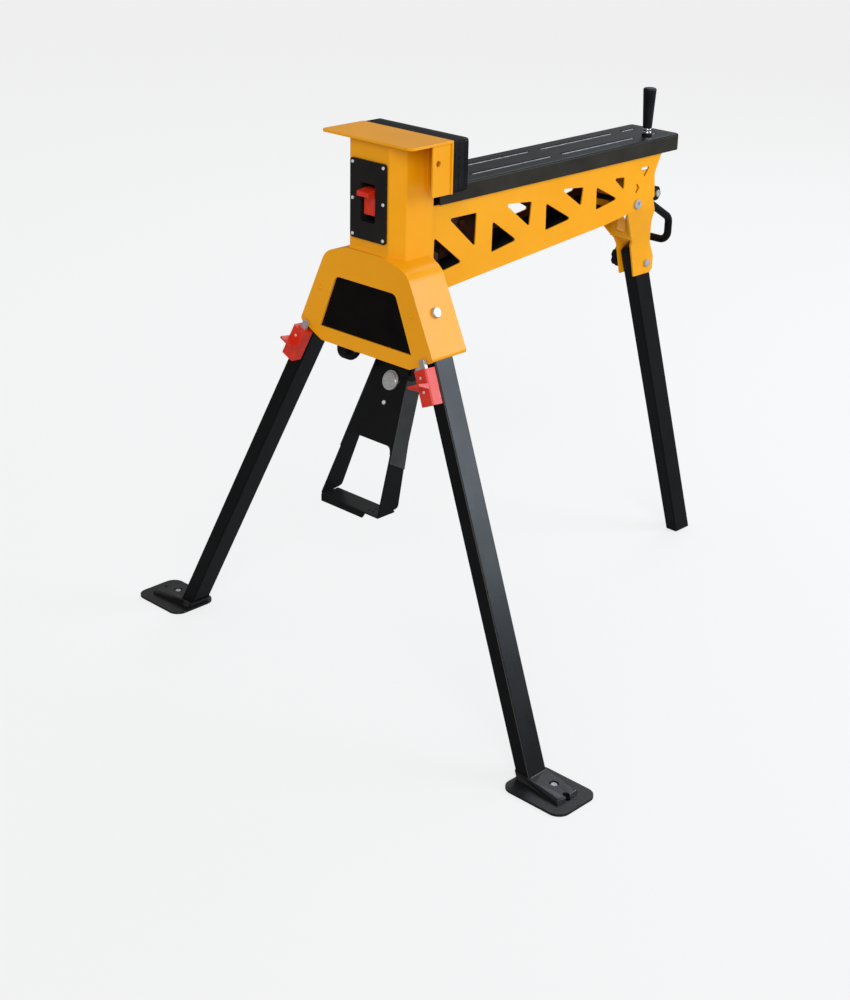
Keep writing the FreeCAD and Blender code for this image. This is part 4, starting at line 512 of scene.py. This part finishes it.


# Bolts through the rear yoke: zinc plated heads at the sides. The shank of the upper one,
# between the trusses, is coloured near black as painted shade, like the faces round it.
shank_short = 0.0012
shank_end = truss_inner - shank_short
bolt_steel = Finish("bolt_steel", Metallic=0.6)
tarnish = bolt_steel.patches(160.0)
past_shank = bolt_steel.spread(bolt_steel.size_of(bolt_steel.along("X")),
                               shank_end - change_half, shank_end + change_half)
# Painted shade: the shank between the trusses is coloured near black.
bolt_steel.colour(past_shank, (0.014, 0.009, 0.008), bolt_steel.mix(tarnish, *zinc_shades))
bolt_steel.dull(0.30, 0.16, tarnish)
bolt_steel.grain(1200.0, 0.00002)
rounded("yoke_bolt", bolt_steel, head_edge)
rounded("rear_pivot_bolt", zinc_plate, head_edge)


# Pedal axle and clutch bolt in the black bracket, of the same dark steel as the
# clutch.
for node in ("pedal_axle", "clutch_bolt"):
    rounded(node, oxide_steel, head_edge)


# Sliding beam: rolled steel with a dark satin coat, brown on its flanks; its top is coloured
# darker and bluer as painted shade. The rolled edges catch the light.
crest_from = 0.0030
crest_full = 0.0010
rolled_edge = 0.0009
beam_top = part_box("slide_beam")[1][2]
beam_coat = Finish("beam_coat", Metallic=0.0, Specular_IOR_Level=0.13, Coat_Weight=0.02, Coat_Roughness=0.12)
rub = beam_coat.patches(20.0)
flank = beam_coat.mix(rub, (0.020, 0.0175, 0.0130), (0.029, 0.0255, 0.0190))
# Painted shade: the top face is coloured darker than the flanks.
painted_shade_top = beam_coat.mix(rub, (0.003, 0.0026, 0.0036), (0.006, 0.0052, 0.0068))
on_top = beam_coat.spread(beam_coat.along("Z"), beam_top - crest_from, beam_top - crest_full)
beam_coat.colour(on_top, flank, painted_shade_top)
beam_coat.dull(0.30, 0.12, rub)
beam_coat.grain(600.0, 0.00005)
rounded("slide_beam", beam_coat, rolled_edge, segments=3)


# Beads along the top of the beam: pressed ribs whose crowns are coloured bright grey as a
# painted highlight. They lie in the channels of the beam's top, just under its face.
channel_least_deep = 0.0005
channel_most_deep = 0.002


def channels_of(node):
    """The top of a CAD node, and the corners of the floors of the channels sunk in it."""
    work = merged(node)
    top = max(vert.co.z for vert in work.verts)
    floors = []
    for face in work.faces:
        deep = top - face.calc_center_median().z
        if face.normal.z > 0.99 and channel_least_deep < deep < channel_most_deep:
            corners = [vert.co for vert in face.verts]
            low = [min(co[i] for co in corners) for i in range(3)]
            high = [max(co[i] for co in corners) for i in range(3)]
            floors.append((low, high))
    work.free()
    return top, floors


# Painted highlight: the crowns are coloured light grey to stand for the light they catch.
painted_highlight_crown = Finish("painted_highlight_crown", Metallic=0.5)
highlight_patches = painted_highlight_crown.patches(90.0, 0.35, 0.65, detail=4.0)
painted_highlight_crown.colour(highlight_patches, (0.10, 0.10, 0.11), (0.30, 0.30, 0.31))
painted_highlight_crown.dull(0.28, 0.20, highlight_patches)
painted_highlight_crown.grain(900.0, 0.00003)

crown_wide_share = 0.50
crown_end = 0.0020
crowns = bmesh.new()
face_z, channels = channels_of("slide_beam")
for low, high in channels:
    wide = (high[0] - low[0]) * crown_wide_share
    rise = face_z - low[2]
    ring = bmesh.ops.create_circle(crowns, cap_ends=True, radius=wide / 2, segments=16)["verts"]
    stretch = Matrix.Diagonal((1.0, rise * 2 / wide, 1.0, 1.0))
    start = Matrix.Translation(((low[0] + high[0]) / 2, low[1] + crown_end, low[2]))
    bmesh.ops.transform(crowns, matrix=start @ Matrix.Rotation(quarter_turn, 4, "X") @ stretch, verts=ring)
    drawn_out(crowns, ring, (0.0, high[1] - low[1] - 2 * crown_end, 0.0))
bmesh.ops.recalc_face_normals(crowns, faces=crowns.faces)
finished(crowns, "bead_crowns", painted_highlight_crown, "slide_beam")


# Guide blocks under the beam and the plate of the sliding jaw at its front: steel in
# the same dark coat, fixed to the beam.
block_edge = 0.0005
jaw_plate_edge = 0.0007
rounded("slide_runners", beam_coat, block_edge)
rounded("sliding_jaw_plate", beam_coat, jaw_plate_edge)


# Jaw pads: moulded rubber with a dry, fine pebbled face between the grooves, each
# held to its plate by screws.
pad_edge = 0.0006
pad_rubber = Finish("pad_rubber", Metallic=0.0, Specular_IOR_Level=0.12)
chalk = pad_rubber.patches(40.0, 0.4, 0.8)
pad_rubber.colour(chalk, (0.006, 0.006, 0.006), (0.013, 0.012, 0.012))
pad_rubber.dull(0.60, 0.15, chalk)
pad_rubber.relief(pad_rubber.cells(900.0), 0.00012, 0.7)
for node in ("fixed_jaw_pad", "sliding_jaw_pad"):
    rounded(node, pad_rubber, pad_edge)


# Push handle: a tapered rubber grip that turns over two chrome collars, on a foot
# of moulded black plastic.
grip_edge = 0.0005
collar_edge = 0.0006
grip_rubber = Finish("grip_rubber", Metallic=0.0, Specular_IOR_Level=0.22)
sweat = grip_rubber.patches(50.0)
grip_rubber.colour(sweat, (0.004, 0.004, 0.005), (0.007, 0.007, 0.008))
grip_rubber.dull(0.30, 0.12, sweat)
grip_rubber.grain(800.0, 0.00005)
rounded("handle_grip", grip_rubber, grip_edge)

moulded_black = Finish("moulded_black", Metallic=0.0, Specular_IOR_Level=0.14)
bloom = moulded_black.patches(25.0)
moulded_black.colour(bloom, (0.005, 0.005, 0.006), (0.008, 0.007, 0.009))
moulded_black.dull(0.42, 0.12, bloom)
moulded_black.relief(moulded_black.cells(mould_cells), mould_cell_deep, mould_cell_soft)
rounded("handle_foot", moulded_black, grip_edge)

chrome = Finish("chrome", Metallic=1.0, Base_Color=(0.72, 0.74, 0.77, 1.0))
chrome.dull(0.08, 0.14, chrome.patches(220.0, 0.4, 0.8))
rounded("handle_rings", chrome, collar_edge, segments=3)


# Front legs and rear leg: drawn rectangular tube with a smooth black coat that
# mirrors the room faintly along its faces. The guides of the latches match it.
tube_edge = 0.0006
satin_black = Finish("satin_black", Metallic=0.0, Specular_IOR_Level=0.24)
haze = satin_black.patches(14.0)
satin_black.colour(haze, (0.0016, 0.0016, 0.002), (0.0030, 0.0030, 0.0038))
satin_black.dull(0.24, 0.08, haze)
satin_black.grain(700.0, 0.00003)
for node in ("front_leg_right", "front_leg_left", "rear_leg_tube", "latch_guide_right", "latch_guide_left"):
    rounded(node, satin_black, tube_edge)


# Feet of the front legs: cast plates with a ridge from the socket to a raised, round
# toe, and a screw sunk in the ridge. The rear leg ends in a moulded cap.
cast_black = Finish("cast_black", Metallic=0.0, Specular_IOR_Level=0.50)
wear = cast_black.patches(35.0)
cast_black.colour(wear, (0.004, 0.004, 0.005), (0.009, 0.009, 0.010))
cast_black.dull(0.26, 0.14, wear)
cast_black.grain(300.0, 0.00008, detail=4.0)

plate_top = 0.004
slope_least = 0.05
slope_most = 0.5
slope_slack = 0.0002
ridge_least_high = 0.0005
ridge_toe_rise = 0.0055
ridge_round = 0.0058
ridge_long_least = 0.030
ridge_toe_least = 0.010
ridge_toe_slack = 0.001
plate_round = 0.0012
cap_edge = 0.0008
for side, node in ((1, "front_foot_right"), (-1, "front_foot_left")):
    foot = merged(node)
    slopes = [face for face in foot.faces
              if face.normal.z > 0.9 and slope_least < abs(face.normal.x) < slope_most]
    slope = max(slopes, key=lambda face: face.calc_area())
    middle = slope.calc_center_median()
    on_slope = [vert for vert in foot.verts
                if abs((vert.co - middle).dot(slope.normal)) < slope_slack
                and vert.co.z > plate_top + ridge_least_high]
    heel_x = min(side * vert.co.x for vert in on_slope)
    toe_x = max(side * vert.co.x for vert in on_slope)
    for vert in on_slope:
        vert.co.z += ridge_toe_rise * (side * vert.co.x - heel_x) / (toe_x - heel_x)
    foot.normal_update()
    broad = []
    for edge in ring_edges(foot, on_slope):
        ends = [side * vert.co.x for vert in edge.verts]
        long_side = abs(ends[0] - ends[1]) > ridge_long_least
        toe_end = min(ends) > toe_x - ridge_toe_slack and edge.calc_length() > ridge_toe_least
        if long_side or toe_end:
            broad.append(edge)
    soften(foot, broad, ridge_round, 6, clamp=False)
    soften(foot, sharp_edges(foot, 40.0), plate_round, 3)
    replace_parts(finished(foot, node + "_rounded", cast_black, node), node)
rounded("rear_leg_cap", moulded_black, cap_edge)
for node in ("foot_screw_right", "foot_screw_left"):
    rounded(node, zinc_plate, head_edge)


# Leg latches: red moulded shells with a thumb shelf, each riveted to the sliding
# bolt that locks its leg.
shell_edge = 0.0009
for node in ("latch_body_right", "latch_body_left"):
    rounded(node, latch_red, shell_edge, segments=3)


# Lock knob on the rear leg's pivot: black moulded plastic, its six lobes soft for
# the hand.
lobe_edge = 0.0016
rounded("lock_knob", moulded_black, lobe_edge, segments=3)


# Carry handle: a bent round bar bolted between two ears behind the yoke, coated black
# as the legs are.
bar_edge = 0.0006
rounded("carry_handle", satin_black, bar_edge)


# Pedal: folded black sheet with a window and a floor, two rails along its sides and
# a round steel head at the top. The brackets of the wheels have the same coat.
for node in ("pedal_plate", "wheel_brackets"):
    rounded(node, satin_black, thin_edge)

rail_edge = 0.0007
# Painted light: the rails' black is lifted to a lighter grey than the plate's, for the light on their faces.
rail_coat_painted_light = Finish("rail_coat_painted_light", Metallic=0.0, Specular_IOR_Level=0.45)
smudge = rail_coat_painted_light.patches(24.0)
rail_coat_painted_light.colour(smudge, (0.016, 0.017, 0.015), (0.026, 0.028, 0.024))
rail_coat_painted_light.dull(0.32, 0.14, smudge)
rail_coat_painted_light.grain(500.0, 0.00004)
rounded("pedal_rails", rail_coat_painted_light, rail_edge)

brushed_steel = Finish("brushed_steel", Metallic=0.7)
polish = brushed_steel.patches(300.0)
brushed_steel.colour(polish, (0.55, 0.56, 0.57), (0.72, 0.73, 0.74))
brushed_steel.dull(0.22, 0.16, polish)
rounded("pedal_button", brushed_steel, head_edge)


# Transport wheels under the skirt: solid tyres of moulded black plastic, which turn
# on the axles of their brackets.
tyre_edge = 0.0010
for node in ("wheel_right", "wheel_left"):
    rounded(node, moulded_black, tyre_edge, segments=3)


# Pale studio floor, wide enough to fill every view. The camera sees it lighter than
# it is lit, its shadow stays, and glossy coats see it darker.
floor_half = 60.0
floor_lift = 0.72
floor_grey = 0.66
floor_grey_mirrored = 0.20
sweep = bmesh.new()
bmesh.ops.create_grid(sweep, x_segments=1, y_segments=1, size=floor_half)
floor_mesh = bpy.data.meshes.new("studio_floor")
sweep.to_mesh(floor_mesh)
sweep.free()
studio_floor = bpy.data.objects.new("studio_floor", floor_mesh)
bpy.context.scene.collection.objects.link(studio_floor)
studio = Finish("studio_white", Metallic=0.0, Roughness=0.9, Specular_IOR_Level=0.1)
mirrored = studio.node("LightPath", {}, {}, "Is Glossy Ray")
studio.colour(mirrored, (floor_grey,) * 3, (floor_grey_mirrored,) * 3)
lift = studio.node("LightPath", {}, {}, "Is Camera Ray") * floor_lift
lit = Value(studio.tree, studio.shader.outputs[0])
blend = studio.node("MixShader", {}, {0: lift, 1: lit, 2: studio.node("Emission", {}, {})})
studio.tree.links.new(blend.socket, studio.tree.nodes["Material Output"].inputs["Surface"])
studio_floor.data.materials.append(studio.material)


# White air round the floor for the camera, which lights the object more softly and
# is dimmed again in glossy coats, so that the blacks stay deep.
air_light = 0.56
air_mirrored_loss = 0.28
world = bpy.data.worlds.new("studio_air")
world.use_nodes = True
bpy.context.scene.world = world
air = Nodes(world.node_tree)
seen = air.node("LightPath", {}, {}, "Is Camera Ray")
mirrored = air.node("LightPath", {}, {}, "Is Glossy Ray")
strength = 1.0 - (1.0 - air_light) * (1.0 - seen) - air_mirrored_loss * mirrored
plain = world.node_tree.nodes["Background"]
plain.inputs["Color"].default_value = (1.0, 1.0, 1.0, 1.0)
world.node_tree.links.new(strength.socket, plain.inputs["Strength"])


# Low, wide key light from the right of the camera, and two cool square lamps behind
# the bench, one to its right that the legs' outer faces reflect and one above.
key_way = Vector((0.68, -0.60, 0.45))
sun = bpy.data.lights.new("key", "SUN")
sun.energy = 1.5
sun.angle = math.radians(35.0)
key = bpy.data.objects.new("key", sun)
key.rotation_euler = key_way.to_track_quat("Z", "Y").to_euler()
bpy.context.scene.collection.objects.link(key)


def cool_lamp(name, place, aim, wide, power):
    """Adds a soft square lamp at a place, aimed at a point."""
    light = bpy.data.lights.new(name, "AREA")
    light.energy = power
    light.size = wide
    light.color = (0.78, 0.89, 1.0)
    lamp = bpy.data.objects.new(name, light)
    lamp.location = place
    lamp.rotation_euler = (Vector(place) - Vector(aim)).to_track_quat("Z", "Y").to_euler()
    bpy.context.scene.collection.objects.link(lamp)


cool_lamp("side_panel", place=(2.45, 1.85, 1.60), aim=(0.1, -0.3, 0.5), wide=1.6, power=58.0)
cool_lamp("top_panel", place=(-0.8, 2.8, 3.2), aim=(0.2, 0.0, 0.3), wide=2.4, power=46.0)
